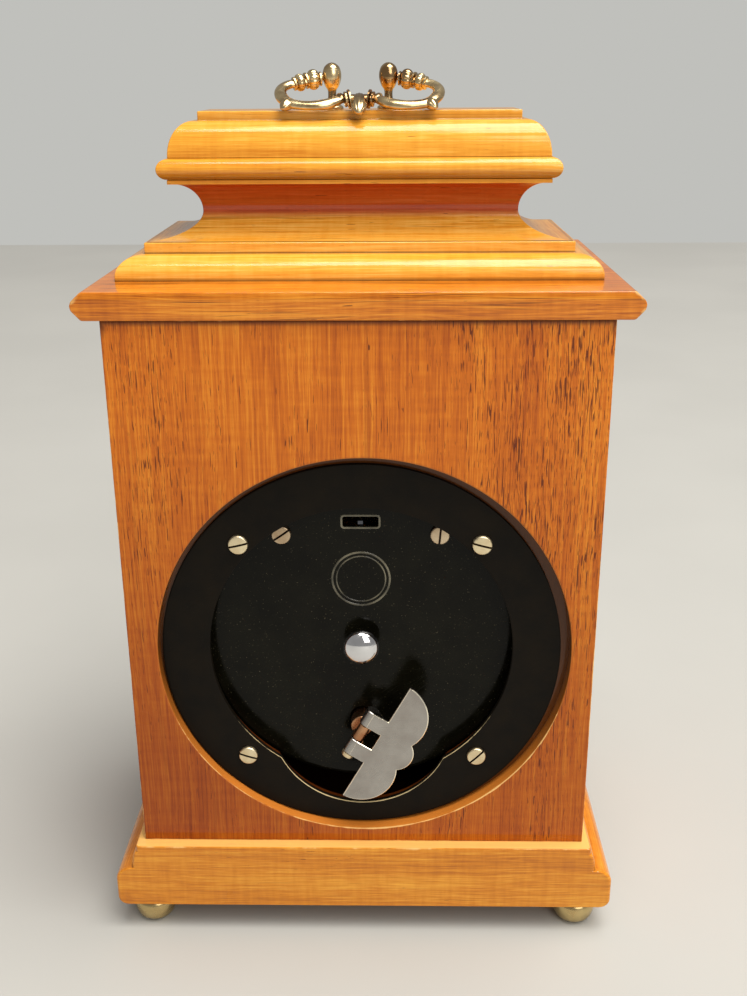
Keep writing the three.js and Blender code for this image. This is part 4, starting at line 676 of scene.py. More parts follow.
def glass_finish():
    """Clear flat glass with faint smears in its gloss."""
    finish, w, shader, place = new_finish(
        "glass", Metallic=0.0, Transmission_Weight=1.0, IOR=1.45, Base_Color=(0.97, 0.99, 0.98, 1.0))
    smears = w.noise(place, (30, 30, 30), 3.0)
    w.link(w.step(smears, 0.45, 0.75, 0.005, 0.05), shader, "Roughness")
    return finish


# ---------------------------------------------------------------- sizes and colours a user may change

class ClockSizes(bpy.types.PropertyGroup):
    """Sizes of the details, in millimetres."""

    arris: FloatProperty(
        name="Arris", description="Rounding of the wooden edges, in millimetres", default=0.35, min=0.05)
    screw_slot: FloatProperty(
        name="Screw slot", description="Width of a screw's slot, in millimetres", default=0.6, min=0.2)
    turned_steps: IntProperty(
        name="Turned steps", description="Facets round a turned brass piece", default=56, min=12)


def wood_colour(name, description, *colour):
    """A colour setting of the woods, given as a screen colour of 0 to 255."""
    return FloatVectorProperty(name=name, description=description, subtype="COLOR", default=srgb(*colour))


class ClockColours(bpy.types.PropertyGroup):
    """Colours of the woods, as linear colours."""

    panel_dark: wood_colour("Panel dark", "Dark grain of the panels", 168, 80, 14)
    panel_middle: wood_colour("Panel middle", "Ground of the panels", 204, 110, 20)
    panel_light: wood_colour("Panel light", "Light grain of the panels", 230, 144, 40)
    plinth_dark: wood_colour("Plinth dark", "Dark grain of the plinth", 170, 96, 14)
    plinth_middle: wood_colour("Plinth middle", "Ground of the plinth", 210, 134, 30)
    plinth_light: wood_colour("Plinth light", "Light grain of the plinth", 238, 176, 66)
    slab_dark: wood_colour("Slab dark", "Dark grain of the slab", 164, 84, 12)
    slab_middle: wood_colour("Slab middle", "Ground of the slab", 208, 122, 24)
    slab_light: wood_colour("Slab light", "Light grain of the slab", 232, 154, 48)
    pale_dark: wood_colour("Moulding dark", "Dark grain of the mouldings", 212, 138, 36)
    pale_middle: wood_colour("Moulding middle", "Ground of the mouldings", 236, 172, 62)
    pale_light: wood_colour("Moulding light", "Light grain of the mouldings", 252, 206, 110)


class ClockStage(bpy.types.PropertyGroup):
    """The stage: lamps, floor and camera."""

    floor: FloatVectorProperty(
        name="Floor", description="Colour of the floor", subtype="COLOR", default=srgb(184, 184, 180))
    overhead_power: FloatProperty(
        name="Overhead", description="Power of the lamp above, in watts", default=175.0, unit="POWER")
    front_power: FloatProperty(
        name="Front", description="Power of the lamp beside the camera, in watts", default=7.0, unit="POWER")
    sky: FloatProperty(name="Sky", description="Strength of the even light all round", default=0.32)
    lens: FloatProperty(
        name="Lens", description="Focal length in millimetres on a 36 mm sensor", default=41.25)


# ---------------------------------------------------------------- pieces

CAMERA_TURNS = (-1.16, 20.20, 0.37)              # yaw, pitch and roll in degrees
CAMERA_PLACE = (-9.72, 336.92, 246.48)           # in the frame, in millimetres
CLOCK_MIDDLE = (0, 0, 0.12)                      # what the lamps are aimed at, in metres


class CLOCK_OT_stage(bpy.types.Operator):
    """Sets the floor, the soft lamps, the even sky and the camera"""

    bl_idname = "clock.make_stage"
    bl_label = "Stage"

    def execute(self, context):
        settings = context.scene.clock_stage
        self.make_floor(settings)
        self.make_sky(context.scene, settings)
        self.make_lamp("overhead softbox", (2.6, 2.6), (-0.9, 0.6, 3.4), settings.overhead_power)
        self.make_lamp("front softbox", (0.7, 0.9), (-0.55, 1.05, 0.85), settings.front_power)
        self.make_camera(context.scene, settings)
        context.scene.view_settings.view_transform = "Standard"
        return {"FINISHED"}

    def make_floor(self, settings):
        finish, w, shader, place = new_finish("floor", Specular_IOR_Level=0.3)
        mottle = w.noise(place, (6, 6, 6), 4.0)
        tone = w.step(mottle, 0.3, 0.7)
        pale = tuple(settings.floor)
        w.link(w.mix(tone, tuple(0.96 * c for c in pale), pale), shader, "Base Color")
        w.link(w.times_plus(mottle, 0.1, 0.5), shader, "Roughness")
        reach = 1.5
        mesh = bpy.data.meshes.new("floor")
        corners = [(-reach, -reach, 0), (reach, -reach, 0), (reach, reach, 0), (-reach, reach, 0)]
        mesh.from_pydata(corners, [], [(0, 1, 2, 3)])
        mesh.materials.append(finish)
        floor = bpy.data.objects.new("floor", mesh)
        bpy.context.scene.collection.objects.link(floor)

    def make_sky(self, scene, settings):
        world = bpy.data.worlds.new("studio")
        scene.world = world
        world.use_nodes = True
        w = Wiring(world.node_tree)
        w.tree.nodes.clear()
        path = w.node("ShaderNodeLightPath").outputs
        seen = w.math("MAXIMUM", path["Is Camera Ray"], path["Is Transmission Ray"])
        light = w.node("ShaderNodeBackground", {"Color": (1.0, 0.98, 0.95, 1.0), "Strength": settings.sky})
        backdrop = w.node("ShaderNodeBackground", {"Color": (*settings.floor, 1.0), "Strength": 1.1})
        both = w.node("ShaderNodeMixShader", {0: seen, 1: light.outputs[0], 2: backdrop.outputs[0]})
        out = w.node("ShaderNodeOutputWorld")
        w.link(both.outputs[0], out, "Surface")

    def make_lamp(self, name, size, place, power):
        lamp = bpy.data.lights.new(name, "AREA")
        lamp.shape = "RECTANGLE"
        lamp.size, lamp.size_y = size
        lamp.energy = power
        lamp.color = (1.0, 0.96, 0.9)
        holder = bpy.data.objects.new(name, lamp)
        holder.location = place
        holder.rotation_euler = (Vector(CLOCK_MIDDLE) - Vector(place)).to_track_quat("-Z", "Y").to_euler()
        bpy.context.scene.collection.objects.link(holder)

    def make_camera(self, scene, settings):
        yaw, pitch, roll = np.radians(CAMERA_TURNS)
        forward = np.array([-np.sin(yaw) * np.cos(pitch), -np.cos(yaw) * np.cos(pitch), -np.sin(pitch)])
        level_right = np.array([-np.cos(yaw), np.sin(yaw), 0.0])
        level_down = np.cross(forward, level_right)
        right = np.cos(roll) * level_right + np.sin(roll) * level_down
        down = -np.sin(roll) * level_right + np.cos(roll) * level_down
        matrix = np.eye(4)
        matrix[:3, 0], matrix[:3, 1], matrix[:3, 2] = right, -down, -forward
        matrix[:3, 3] = np.array(CAMERA_PLACE) * MM
        camera = bpy.data.cameras.new("photograph")
        camera.sensor_fit = "AUTO"
        camera.sensor_width = 36
        camera.lens = settings.lens
        camera.clip_start = 0.01
        camera.clip_end = 20
        holder = bpy.data.objects.new("photograph", camera)
        holder.matrix_world = Matrix(matrix.tolist())
        scene.collection.objects.link(holder)
        scene.camera = holder


class CLOCK_OT_plinth(bpy.types.Operator):
    """Makes the moulded plinth and the four bun feet"""

    bl_idname = "clock.make_plinth"
    bl_label = "Plinth and feet"

    def execute(self, context):
        arris = context.scene.clock_sizes.arris
        nose, top, back, height = 9.1, 2.3, 3.6, 21.1
        step_out, step_up = top + 2, height - 8
        profile = np.vstack([
            [nose - 3.2, 0, 0, 0.6],
            weighted(quarter([nose - 2.4, 0], [nose, 2.4], 6, False), 0.0, 0.0),
            [nose, 9.1, 0.25, 0],
            weighted(quarter([nose, 9.1], [step_out, step_up], 10, True)[1:], 0, 0),
            [top + 1.6, step_up + 0.05, 0, 0.9],
            weighted(quarter([top + 1.6, step_up + 0.1], [top + 0.2, height - 2.2], 7, True)[1:], 0, 0),
            [top, height - 2, 0, 0.3],
        ])
        rows = held(profile)
        out, up = rows[:, 0], rows[:, 1]
        body = np.stack([up - height, CASE_HALF + out, np.full_like(up, -back), CASE_DEPTH + out,
                         rows[:, 2], rows[:, 3]], 1)
        edge = eased(np.array([
            [top, height - 1.9, 0, 0], [top, height, 0.62, 0], [top - 1.2, height, 0, 0]]), arris)
        inset = np.clip(top - edge[:, 0], 0, None)
        lip = np.stack([edge[:, 1] - height, CASE_HALF + edge[:, 0], -back + inset, CASE_DEPTH + edge[:, 0],
                        edge[:, 2], edge[:, 3]], 1)
        body[0, 2] += 0.6
        block = levels(np.vstack([body, lip]), 0.9, 4)
        moulded = block["points"][..., 1] > 0.5 - back
        block["weights"]["quirk"] = block["weights"]["quirk"] * moulded
        block["weights"]["raw"] = 0.8 * (block["points"][..., 2] > -0.01)
        build("moulded_plinth", [block], "case", finish_of("plinth wood"), ["plinth"])
        for end in ("back", "front"):
            for hand in ("left", "right"):
                self.make_foot(f"foot_{end}_{hand}", context.scene.clock_sizes.turned_steps)
        return {"FINISHED"}

    def make_foot(self, node, steps):
        low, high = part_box(node)
        across = (low.x + high.x) / 2 / MM
        deep = BACK_Y - (low.y + high.y) / 2 / MM
        radius, height = (high.x - low.x) / 2 / MM, high.z / MM
        neck = 0.74 * radius
        outline = np.array([
            [0.0, 0], [0.5 * radius, 0], [0.84 * radius, 0.14 * height], [radius, 0.5 * height],
            [0.97 * radius, 0.78 * height], [neck, 0.92 * height], [neck * 1.04, 0.96 * height],
            [neck, height], [0, height]])
        soft = eased(outline, [0, 0.5, 2.2, 2.6, 1.4, 0.5, 0.25, 0.1, 0], 5)
        quirk = np.exp(-((soft[:, 1] - 0.93 * height) / 0.3) ** 2)[:, None]
        profile = np.stack([soft[:, 0], soft[:, 1] - BASE_Z], 1)
        build(f"turned_{node}", [upright(profile, across, deep, steps, quirk=quirk)], "case",
              finish_of("foot brass"), [node])


class CLOCK_OT_panels(bpy.types.Operator):
    """Makes the back panel with its rebated round opening and finishes the other panels"""

    bl_idname = "clock.make_panels"
    bl_label = "Case panels"

    def execute(self, context):
        arris = context.scene.clock_sizes.arris
        hole, drift, rebate, thick = 58.5, -0.9, 4.8, 8.0
        corners = np.arctan2([CASE_HEIGHT - CENTRE_UP, CASE_HEIGHT - CENTRE_UP, -CENTRE_UP, -CENTRE_UP],
                             [CASE_HALF - drift, -CASE_HALF - drift, -CASE_HALF - drift, CASE_HALF - drift])
        near = np.concatenate([corners, corners - 0.004, corners + 0.004]) % TURN
        angle = np.unique(np.concatenate([around(288), near]))
        cos, sin = np.cos(angle), np.sin(angle)

        def rectangle(inset):
            half, low, high = CASE_HALF - inset, 0.05 + inset, CASE_HEIGHT - 0.05 - inset
            side = np.where(cos > 0, half - drift, half + drift) / np.maximum(np.abs(cos), 1e-9)
            level = np.where(sin > 0, high - CENTRE_UP, CENTRE_UP - low) / np.maximum(np.abs(sin), 1e-9)
            return np.minimum(side, level)

        circle = np.ones_like(angle)
        opening = lobed_reach(angle, 1.5, (drift, 0.0))
        rough = 0.12 * np.sin(23 * angle) * np.sin(7 * angle + 1)
        # Painted shade on the hole's wall: dark at its top and sides, lighter only towards its bottom, which
        # faces the light.
        shade = np.clip(0.95 + 1.3 * sin, 0, 1)
        # Painted highlight: the hole's rubbed edge is pale only at its bottom, where it faces up into the
        # light.
        low = np.clip(0.2 - 1.5 * sin, 0, 1)
        edge = 0.5 * arris
        # Painted shadow under the overhanging slab, with dirt in the joint: a dark band along the panel's top
        # edge.
        joint_and_slab_shadow = 1.0 * (rectangle(0) * sin > CASE_HEIGHT - CENTRE_UP - 1)
        # Each row: reach from the opening's middle, depth, and the weights arris (rubbed edges, with a painted
        # highlight low on the hole), quirk (dirt and painted shade) and raw
        rows = [
            (rectangle(0), thick, 0, 0, 0), (rectangle(0), edge * 2, 0, 0, 0),
            (rectangle(0), edge, 0.5, 0, 0), (rectangle(edge * 0.3), edge * 0.3, 0.6, joint_and_slab_shadow, 0),
            (rectangle(edge), 0, 0.5, joint_and_slab_shadow, 0), (rectangle(0.7), 0, 0, joint_and_slab_shadow * 0.8, 0),
            (rectangle(1.7), 0, 0, 0, 0), (circle * (hole + 2.5), 0, 0, 0, 0),
            (circle * (hole + 0.7), 0, 0, 0, 0), (circle * (hole + 0.45), 0, 0.45 * low, 0, 0),
            (circle * (hole + 0.12), 0.12, 0.7 * low, 0.3 * shade, 0.5),
            (circle * hole, 0.5, 0.3 * low, shade, 1), (hole + 0.5 * rough, 1.2, 0, shade, 1),
            (hole + rough, 3.0, 0, shade, 1), (circle * hole, rebate - 0.2, 0, shade, 1),
            (circle * hole, rebate, 0, 1, 1), (circle * (hole - 0.3), rebate, 0, 1, 1),
            (opening + 0.3, rebate, 0, 1, 0), (opening, rebate, 0, 1, 0),
            (opening, rebate + 0.2, 0, 1, 0), (opening, thick, 0, 1, 0),
            (opening + 0.3, thick, 0, 0, 0), (rectangle(0.4), thick, 0, 0, 0),
        ]
        reach, deep, worn, quirk, raw = (
            np.stack([np.broadcast_to(row[column], angle.shape) for row in rows]) for column in range(5))
        points = np.stack([drift + reach * cos, deep, CENTRE_UP + reach * sin], -1)
        panel = patch(points, wrap_rows=True, wrap_columns=True, arris=worn, quirk=quirk, raw=raw)
        build("back_board", [panel], "case", finish_of("panel wood"), ["back_panel"])
        for node in ("side_panel_left", "side_panel_right", "front_panel"):
            dress(node, finish_of("side wood"))
        return {"FINISHED"}


class CLOCK_OT_top(bpy.types.Operator):
    """Makes the cornice slab, the lower moulding, the hollow neck and the cushion"""

    bl_idname = "clock.make_top"
    bl_label = "Slab and bell top"

    def execute(self, context):
        arris = context.scene.clock_sizes.arris
        self.make_slab(arris)
        lower = np.vstack([
            [64.9, 0, 0, 1.0],
            [64.9, 0.9, 0, 0.2],
            weighted(quarter([64.9, 1], [58.5, 6.3], 16, True), 0, 0),
            [57.95, 6.32, 0, 0.8], [57.9, 6.5, 0, 0.8], [57.9, 6.9, 0, 0],
            [57.9, 9.2, 0.5, 0],
            [56.5, 9.2, 0, 0],
        ])
        ease = np.where(np.arange(len(lower)) == len(lower) - 2, arris, 0.02)
        build("ovolo_moulding", [tier_levels(held(eased(lower, ease)), SLAB_TOP)], "case",
              finish_of("moulding wood"), ["lower_moulding"])
        neck = np.vstack([
            weighted(quarter([57.3, 0.05], [43.7, 6.9], 18, False), 0, 0),
            weighted(quarter([43.7, 6.9], [51.2, 14.55], 18, True)[1:], 0, 0),
        ])
        neck[0, 3] = 0.7
        neck[-1, 3] = 1.0
        build("hollow_neck", [tier_levels(neck, NECK_FOOT)], "case",
              finish_of("neck wood"), ["bell_neck"])
        self.make_cushion(arris)
        return {"FINISHED"}

    def make_slab(self, arris):
        nose, edge = 7.1, 4.1
        profile = np.vstack([
            [edge - 1, 0, 0, 0], [edge + 0.3, 0, 0.1, 0],
            [nose - 0.25, 2.6, 0.2, 0], [nose, 3.8, 0.1, 0],
            [nose - 0.4, 4.9, 0.22, 0], [edge, 7.3, 0.16, 0],
            [edge - 1, 7.3, 0, 0],
        ])
        rows = held(eased(profile, arris))
        out, up = rows[:, 0], rows[:, 1]
        corner = 0.9 * arris
        inset = np.maximum(corner - np.minimum(up, 7.3 - up), 0) ** 2 / corner
        table = np.stack([CASE_HEIGHT + up, CASE_HALF + out, inset - 1.3, CASE_DEPTH + out,
                          rows[:, 2], rows[:, 3]], 1)
        build("cornice_board", [levels(table, 0.35, worn_corner=0.36)], "case",
              finish_of("slab wood"), ["cornice_slab"])

    def make_cushion(self, arris):
        collar, torus, swell, cap = 1.2, 5.4, 9.5, 2.4
        foot, cap_foot = collar + torus, collar + torus + swell
        angle = np.linspace(-0.45, 0.45, 15) * np.pi
        torus_points = np.stack([54.2 - 2.8 * (1 - np.cos(angle)),
                                 collar + torus / 2 + torus / 2 * np.sin(angle) / np.sin(0.45 * np.pi)], 1)
        profile = np.vstack([
            [50.5, 0, 0.2, 0], [51.8, 0, 0.2, 0], [51.8, 1.05, 0.3, 0],
            [51.4, 1.2, 0, 1.0],
            # Painted shade: the torus's lower half, which faces down, is darkened through the quirk weight.
            np.column_stack([torus_points, 0 * angle, 0.8 * np.clip(-1.3 * np.sin(angle), 0, 1)]),
            [51.35, foot + 0.2, 0, 1.0],
            weighted(quarter([51.4, foot + 0.3], [45.0, cap_foot], 16, True), 0, 0),
            [44.0, cap_foot + 0.05, 0, 0.9], [43.9, cap_foot + 0.2, 0, 0.3],
            [43.9, cap_foot + cap, 0.6, 0], [42.5, cap_foot + cap, 0, 0],
        ])
        ease = np.where(np.arange(len(profile)) == len(profile) - 2, arris, 0.03)
        build("cushion_moulding", [tier_levels(held(eased(profile, ease)), CUSHION_FOOT)], "case",
              finish_of("moulding wood"), ["cushion_top"])


class CLOCK_OT_ring(bpy.types.Operator):
    """Makes the black mounting ring with its keyhole-like opening"""

    bl_idname = "clock.make_ring"
    bl_label = "Mounting ring"

    def execute(self, context):
        face, back, outer, drop = 3.0, 4.5, 56.9, 1.0
        cusps = np.array([3.72, 5.705])
        near = np.concatenate([cusps + shift for shift in (-0.02, -0.008, 0.0, 0.008, 0.02)])
        angle = np.unique(np.concatenate([around(256), near]))
        rim = circle_reach(angle, (0.0, -drop), outer)
        mouth = lobed_reach(angle, 0.0)
        rows = [
            (rim, back, 0), (rim, face + 0.25, 0), (rim - 0.08, face + 0.08, 0), (rim - 0.25, face, 0),
            (rim - 0.6, face, 0), (mouth + 0.6, face, 0), (mouth + 0.24, face, 0.35),
            (mouth + 0.06, face + 0.06, 0.62), (mouth, face + 0.22, 0.55), (mouth, face + 0.4, 0),
            (mouth, back, 0), (mouth + 0.5, back, 0), (rim - 0.5, back, 0),
        ]
        reach = np.stack([row[0] for row in rows])
        deep, worn = np.array([row[1:] for row in rows], float).T
        # Painted highlight: the mouth's rubbed edge is pale only low down, where it faces up into the light.
        low = np.clip(-0.2 - np.sin(angle), 0, 1) ** 0.5
        weight = worn[:, None] * 1.5 * low[None]
        points = np.stack([reach * np.cos(angle), np.broadcast_to(deep[:, None], reach.shape),
                           CENTRE_UP + reach * np.sin(angle)], -1)
        build("black_ring", [patch(points, wrap_rows=True, wrap_columns=True, arris=weight)], "case",
              finish_of("ring black"), ["mounting_ring"])
        return {"FINISHED"}


class CLOCK_OT_cover(bpy.types.Operator):
    """Finishes the dust cover and adds its embossed rings and the frame round its slot, coloured pale as a
    painted highlight
    """

    bl_idname = "clock.make_cover"
    bl_label = "Dust cover"

    def execute(self, context):
        black = finish_of("cover black")
        dress("dust_cover", black)
        face = 9.0
        steps = context.scene.clock_sizes.turned_steps
        for name, radius, width in (("outer", 8.2, 0.32), ("inner", 7.0, 0.22)):
            angle = around(16)
            profile = np.stack([radius + width * np.cos(angle), face + 0.05 + 0.2 * np.sin(angle)], 1)
            bead = facing_back(profile, (0, CENTRE_UP + 19.5), steps)
            bead["wrap"] = (True, True)
            build(f"embossed_ring_{name}", [bead], "case", finish_of("cover ridge highlight"))
        self.make_slot_frame(face, finish_of("cover ridge highlight"))
        return {"FINISHED"}

    def make_slot_frame(self, face, finish):
        half_width, half_height, corner = 5.0, 1.5, 0.5
        arc = around(48)
        across = np.sign(np.cos(arc)) * (half_width - corner) + corner * np.cos(arc)
        up = np.sign(np.sin(arc)) * (half_height - corner) + corner * np.sin(arc)
        section = around(12)
        grow = 0.35 + 0.3 * np.cos(section)
        points = np.stack([
            across[None] + grow[:, None] * np.cos(arc)[None],
            np.broadcast_to((face + 0.02 + 0.16 * np.sin(section))[:, None], (12, 48)),
            CENTRE_UP + 37 + up[None] + grow[:, None] * np.sin(arc)[None]], -1)
        build("slot_frame", [patch(points, wrap_rows=True, wrap_columns=True)], "case", finish)


def slotted_head(place, face, angle, slot_width, radius=2.75, height=1.1, dome=0.18, slot_depth=0.55):
    """Cheese head with a slot: the disc is cut into chords that run along the slot's side; each chord is a
    loop over the top, down the rim and back underneath, and the loops between the slot's walls lie lower."""
    half = slot_width / 2
    outer = radius * np.sin(np.linspace(0.12, 1, 14) * np.pi / 2)
    outer = outer[outer > half + 0.05]
    lip = np.array([half, half + 0.06])
    positive = np.concatenate([lip, outer])
    beside = np.concatenate([-positive[::-1], [-half, 0.0, half], positive])
    sunk = np.concatenate([np.zeros(len(positive)), [1, 1, 1], np.zeros(len(positive))])
    chord = np.sqrt(np.maximum(radius ** 2 - beside ** 2, 0))
    turn = np.linspace(-np.pi / 2, np.pi / 2, 25)
    share = np.sin(turn)
    along_top = chord[:, None] * share[None]
    reach = np.sqrt(along_top ** 2 + beside[:, None] ** 2) / radius
    crown = height + dome * (1 - reach ** 2) - 0.3 * np.clip((reach - 0.86) / 0.14, 0, 1) ** 2.5
    top = np.where(sunk[:, None] > 0, height - slot_depth, crown)
    along = np.hstack([along_top, chord[:, None], -chord[:, None]])
    level = np.hstack([top, np.zeros((len(beside), 2)) - 0.05])
    spin = np.radians(angle)
    cos, sin = np.cos(spin), np.sin(spin)
    across = along * cos + beside[:, None] * sin
    up = -along * sin + beside[:, None] * cos
    points = np.stack([place[0] + across, face - level, place[1] + up], -1)
    return patch(points, wrap_columns=True, quirk=np.broadcast_to(sunk[:, None], along.shape))


class CLOCK_OT_screws(bpy.types.Operator):
    """Makes the slotted screws of the ring and of the dust cover"""

    bl_idname = "clock.make_screws"
    bl_label = "Screws"

    def execute(self, context):
        width = context.scene.clock_sizes.screw_slot
        table = {
            "ring_screw_upper_left": (-15, 2.9, "screw brass", "screw_brass"),
            "ring_screw_upper_right": (13, 2.9, "screw brass", "screw_brass"),
            "ring_screw_lower_left": (45, 2.9, "screw brass", "screw_brass"),
            "ring_screw_lower_right": (-18, 2.9, "screw brass", "screw_brass"),
            "cover_screw_left": (85, 8.9, "screw steel", "screw_steel"),
            "cover_screw_right": (35, 8.9, "screw steel", "screw_steel"),
        }
        for node, (angle, face, finish, slot) in table.items():
            low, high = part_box(node)
            place = ((low.x + high.x) / 2 / MM, (low.z + high.z) / 2 / MM - BASE_Z)
            head = slotted_head(place, face, angle, width)
            profile = [[0, face - 0.2], [1.25, face - 0.2], [1.25, face + 3.2], [0, face + 4.2]]
            shank = facing_back(profile, place, 20)
            build(f"slotted_{node}", [head, shank], "case", finish_of(finish), [node])
        return {"FINISHED"}


class CLOCK_OT_knob(bpy.types.Operator):
    """Makes the domed chrome knob that sets the hands"""

    bl_idname = "clock.make_knob"
    bl_label = "Setting knob"

    def execute(self, context):
        crown, rim, radius = 1.6, 4.7, 5.25
        angle = np.linspace(0, np.pi / 2, 20)
        dome = np.stack([radius * np.sin(angle), rim - (rim - crown) * np.cos(angle)], 1)
        under = np.array([[radius, rim + 0.15], [radius - 0.1, rim + 0.4], [radius - 0.5, rim + 0.6],
                          [2.9, rim + 0.9], [2.0, rim + 1.5], [2.0, 11.3], [0, 11.3]])
        build("chrome_knob", [facing_back(np.vstack([dome, under]), (0, CENTRE_UP), 72)], "hand_shaft",
              finish_of("knob chrome"), ["set_knob"])
        return {"FINISHED"}


# ---------------------------------------------------------------- winding key

KEY_LEAN, KEY_TILT = np.radians(28.8), np.radians(7)
KEY_AXIS_DEEP = 1.1
HEEL_OUT, HEEL_HALF = 5.0, 20.5                  # the wing's straight heel: out from the hinge, half length
LUG_FOOT, LUG_INNER, LUG_OUTER = 0.2, 2.75, 7.7  # the lugs on the heel: foot, and both ends along the hinge


def key_points(along, out, deep, tilt=KEY_TILT):
    """Places of the key group: along the hinge line, out from it and deep, tilted about the hinge line
    and then leant over in the plane of the back."""
    x, y = -np.asarray(out, float), -(np.asarray(deep, float) - KEY_AXIS_DEEP)
    x, y = x * np.cos(tilt) + y * np.sin(tilt), -x * np.sin(tilt) + y * np.cos(tilt)
    across = x * np.cos(KEY_LEAN) - along * np.sin(KEY_LEAN)
    up = WINDING_UP + x * np.sin(KEY_LEAN) + along * np.cos(KEY_LEAN)
    return np.stack(np.broadcast_arrays(across, KEY_AXIS_DEEP - y, up), -1)


def key_outline():
    """The wing's outline: two round lobes and a smaller middle one on a straight heel with two lugs."""
    lobe, lobe_radius, middle_radius, middle_out = (9.5, 4.5), 11.1, 5.7, 11.1
    span = np.hypot(lobe[0], middle_out - lobe[1])
    reach = (lobe_radius ** 2 - middle_radius ** 2 + span ** 2) / (2 * span)
    off = np.sqrt(lobe_radius ** 2 - reach ** 2)
    unit = np.array([-lobe[0], middle_out - lobe[1]]) / span
    cusp = np.array(lobe) + reach * unit + off * np.array([unit[1], -unit[0]])
    first = np.arctan2(HEEL_OUT - lobe[1], HEEL_HALF - lobe[0])
    last = np.arctan2(cusp[1] - lobe[1], cusp[0] - lobe[0])
    turn = np.linspace(first, last, 26)
    big = np.stack([lobe[0] + lobe_radius * np.cos(turn), lobe[1] + lobe_radius * np.sin(turn)], 1)
    start = np.arctan2(cusp[1] - middle_out, cusp[0])
    turn = np.linspace(start, np.pi / 2, 12)[1:]
    small = np.stack([middle_radius * np.cos(turn), middle_out + middle_radius * np.sin(turn)], 1)
    half = np.vstack([[HEEL_HALF, HEEL_OUT], big[1:], small])
    other = half[:-1][::-1] * [-1, 1]
    lug = np.array([[LUG_INNER, HEEL_OUT], [LUG_INNER, LUG_FOOT], [LUG_OUTER, LUG_FOOT], [LUG_OUTER, HEEL_OUT]])
    return np.vstack([half, other, lug[::-1] * [-1, 1], lug])


def key_wing():
    """The wing's plate: its outline at several depths, drawn in a little at both faces; the arris on the
    back's side is worn."""
    outline = key_outline()
    step = np.roll(outline, -1, 0) - np.roll(outline, 1, 0)
    inward = np.stack([-step[:, 1], step[:, 0]], 1) / np.maximum(np.linalg.norm(step, axis=1), 1e-9)[:, None]
    rows = [(0.42, -1.0, 0.0), (0.16, -1.0, 0.9), (0.0, -0.84, 0.9), (0.0, -0.6, 0.0), (0.0, 0.44, 0.0),
            (0.16, 0.6, 0.0)]
    ease, deep, worn = np.array(rows).T[:, :, None]
    along, out = np.moveaxis(outline + inward * ease[..., None], -1, 0)
    return patch(key_points(along, out, deep), wrap_columns=True, caps=(0, -1), arris=worn)


class CLOCK_OT_key(bpy.types.Operator):
    """Makes the folding winding key, its post and its pivot screw"""

    bl_idname = "clock.make_key"
    bl_label = "Winding key"

    def execute(self, context):
        steps = context.scene.clock_sizes.turned_steps
        wing = key_wing()
        knuckles = []
        for side in (-1, 1):
            angle = around(40)
            along = side * np.array([LUG_INNER, 2.9, 7.55, LUG_OUTER])[:, None]
            radius = np.array([1.95, 2.1, 2.1, 1.95])[:, None]
            rows = key_points(along, radius * np.cos(angle), KEY_AXIS_DEEP + radius * np.sin(angle))
            knuckles.append(patch(rows, wrap_columns=True, caps=(0, -1)))
        build("key_wing_plate", [wing, *knuckles], "key_wing", finish_of("key nickel"),
              ["winding_key"])
        self.make_post(steps)
        self.make_pivot(steps)
        return {"FINISHED"}

    def make_post(self, steps):
        radius = 3.2
        profile = [[0, 3.7], [radius - 0.2, 3.7], [radius, 3.9], [radius, 12.0], [0, 12.0]]
        body = facing_back(profile, (0, WINDING_UP), steps)
        angle = np.linspace(np.pi, TURN, 20)
        section_out = np.concatenate([[1.8], [-1.8], 1.8 * np.cos(angle)])
        section_deep = np.concatenate([[4.2], [4.2], KEY_AXIS_DEEP + 1.8 * np.sin(angle)])
        along = np.array([[-2.45], [2.45]])
        rows = key_points(along, section_out, section_deep, 0.0)
        tongue = patch(rows, wrap_columns=True, caps=(0, -1))
        build("key_post", [body, tongue], "winding_shaft", finish_of("post brass"),
              ["winding_key_post"], bevel=0.1)

    def make_pivot(self, steps):
        head_from = -8.0
        profile = np.array([
            [0, head_from - 1.3], [1.5, head_from - 1.3], [1.82, head_from - 1.15], [1.9, head_from - 0.95],
            [1.9, head_from - 0.1], [1.75, head_from], [0.8, head_from], [0.8, 7.5], [0, 7.7]])
        angle = around(steps)
        radius, along = profile[:, :1], profile[:, 1:]
        rows = key_points(along, radius * np.cos(angle), KEY_AXIS_DEEP + radius * np.sin(angle), 0.0)
        build("key_pivot", [patch(rows, wrap_columns=True)], "winding_shaft", finish_of("screw brass"),
              ["key_pivot_screw"])


# ---------------------------------------------------------------- handle

PIVOT_RISE = 8.3                                 # the pivot line above the cap
SAG = np.radians(27.5)                           # how far the bail hangs below level


def bail_points(across, out, lift):
    """Places of the bail: across, out from the pivot line, and lift off its own plane, sagged about the
    pivot line. It stops just short of the cap."""
    deep = TIER_MIDDLE - (out * np.cos(SAG) + lift * np.sin(SAG))
    up = CAP_TOP + PIVOT_RISE - out * np.sin(SAG) + lift * np.cos(SAG)
    return np.stack(np.broadcast_arrays(across, deep, up), -1)


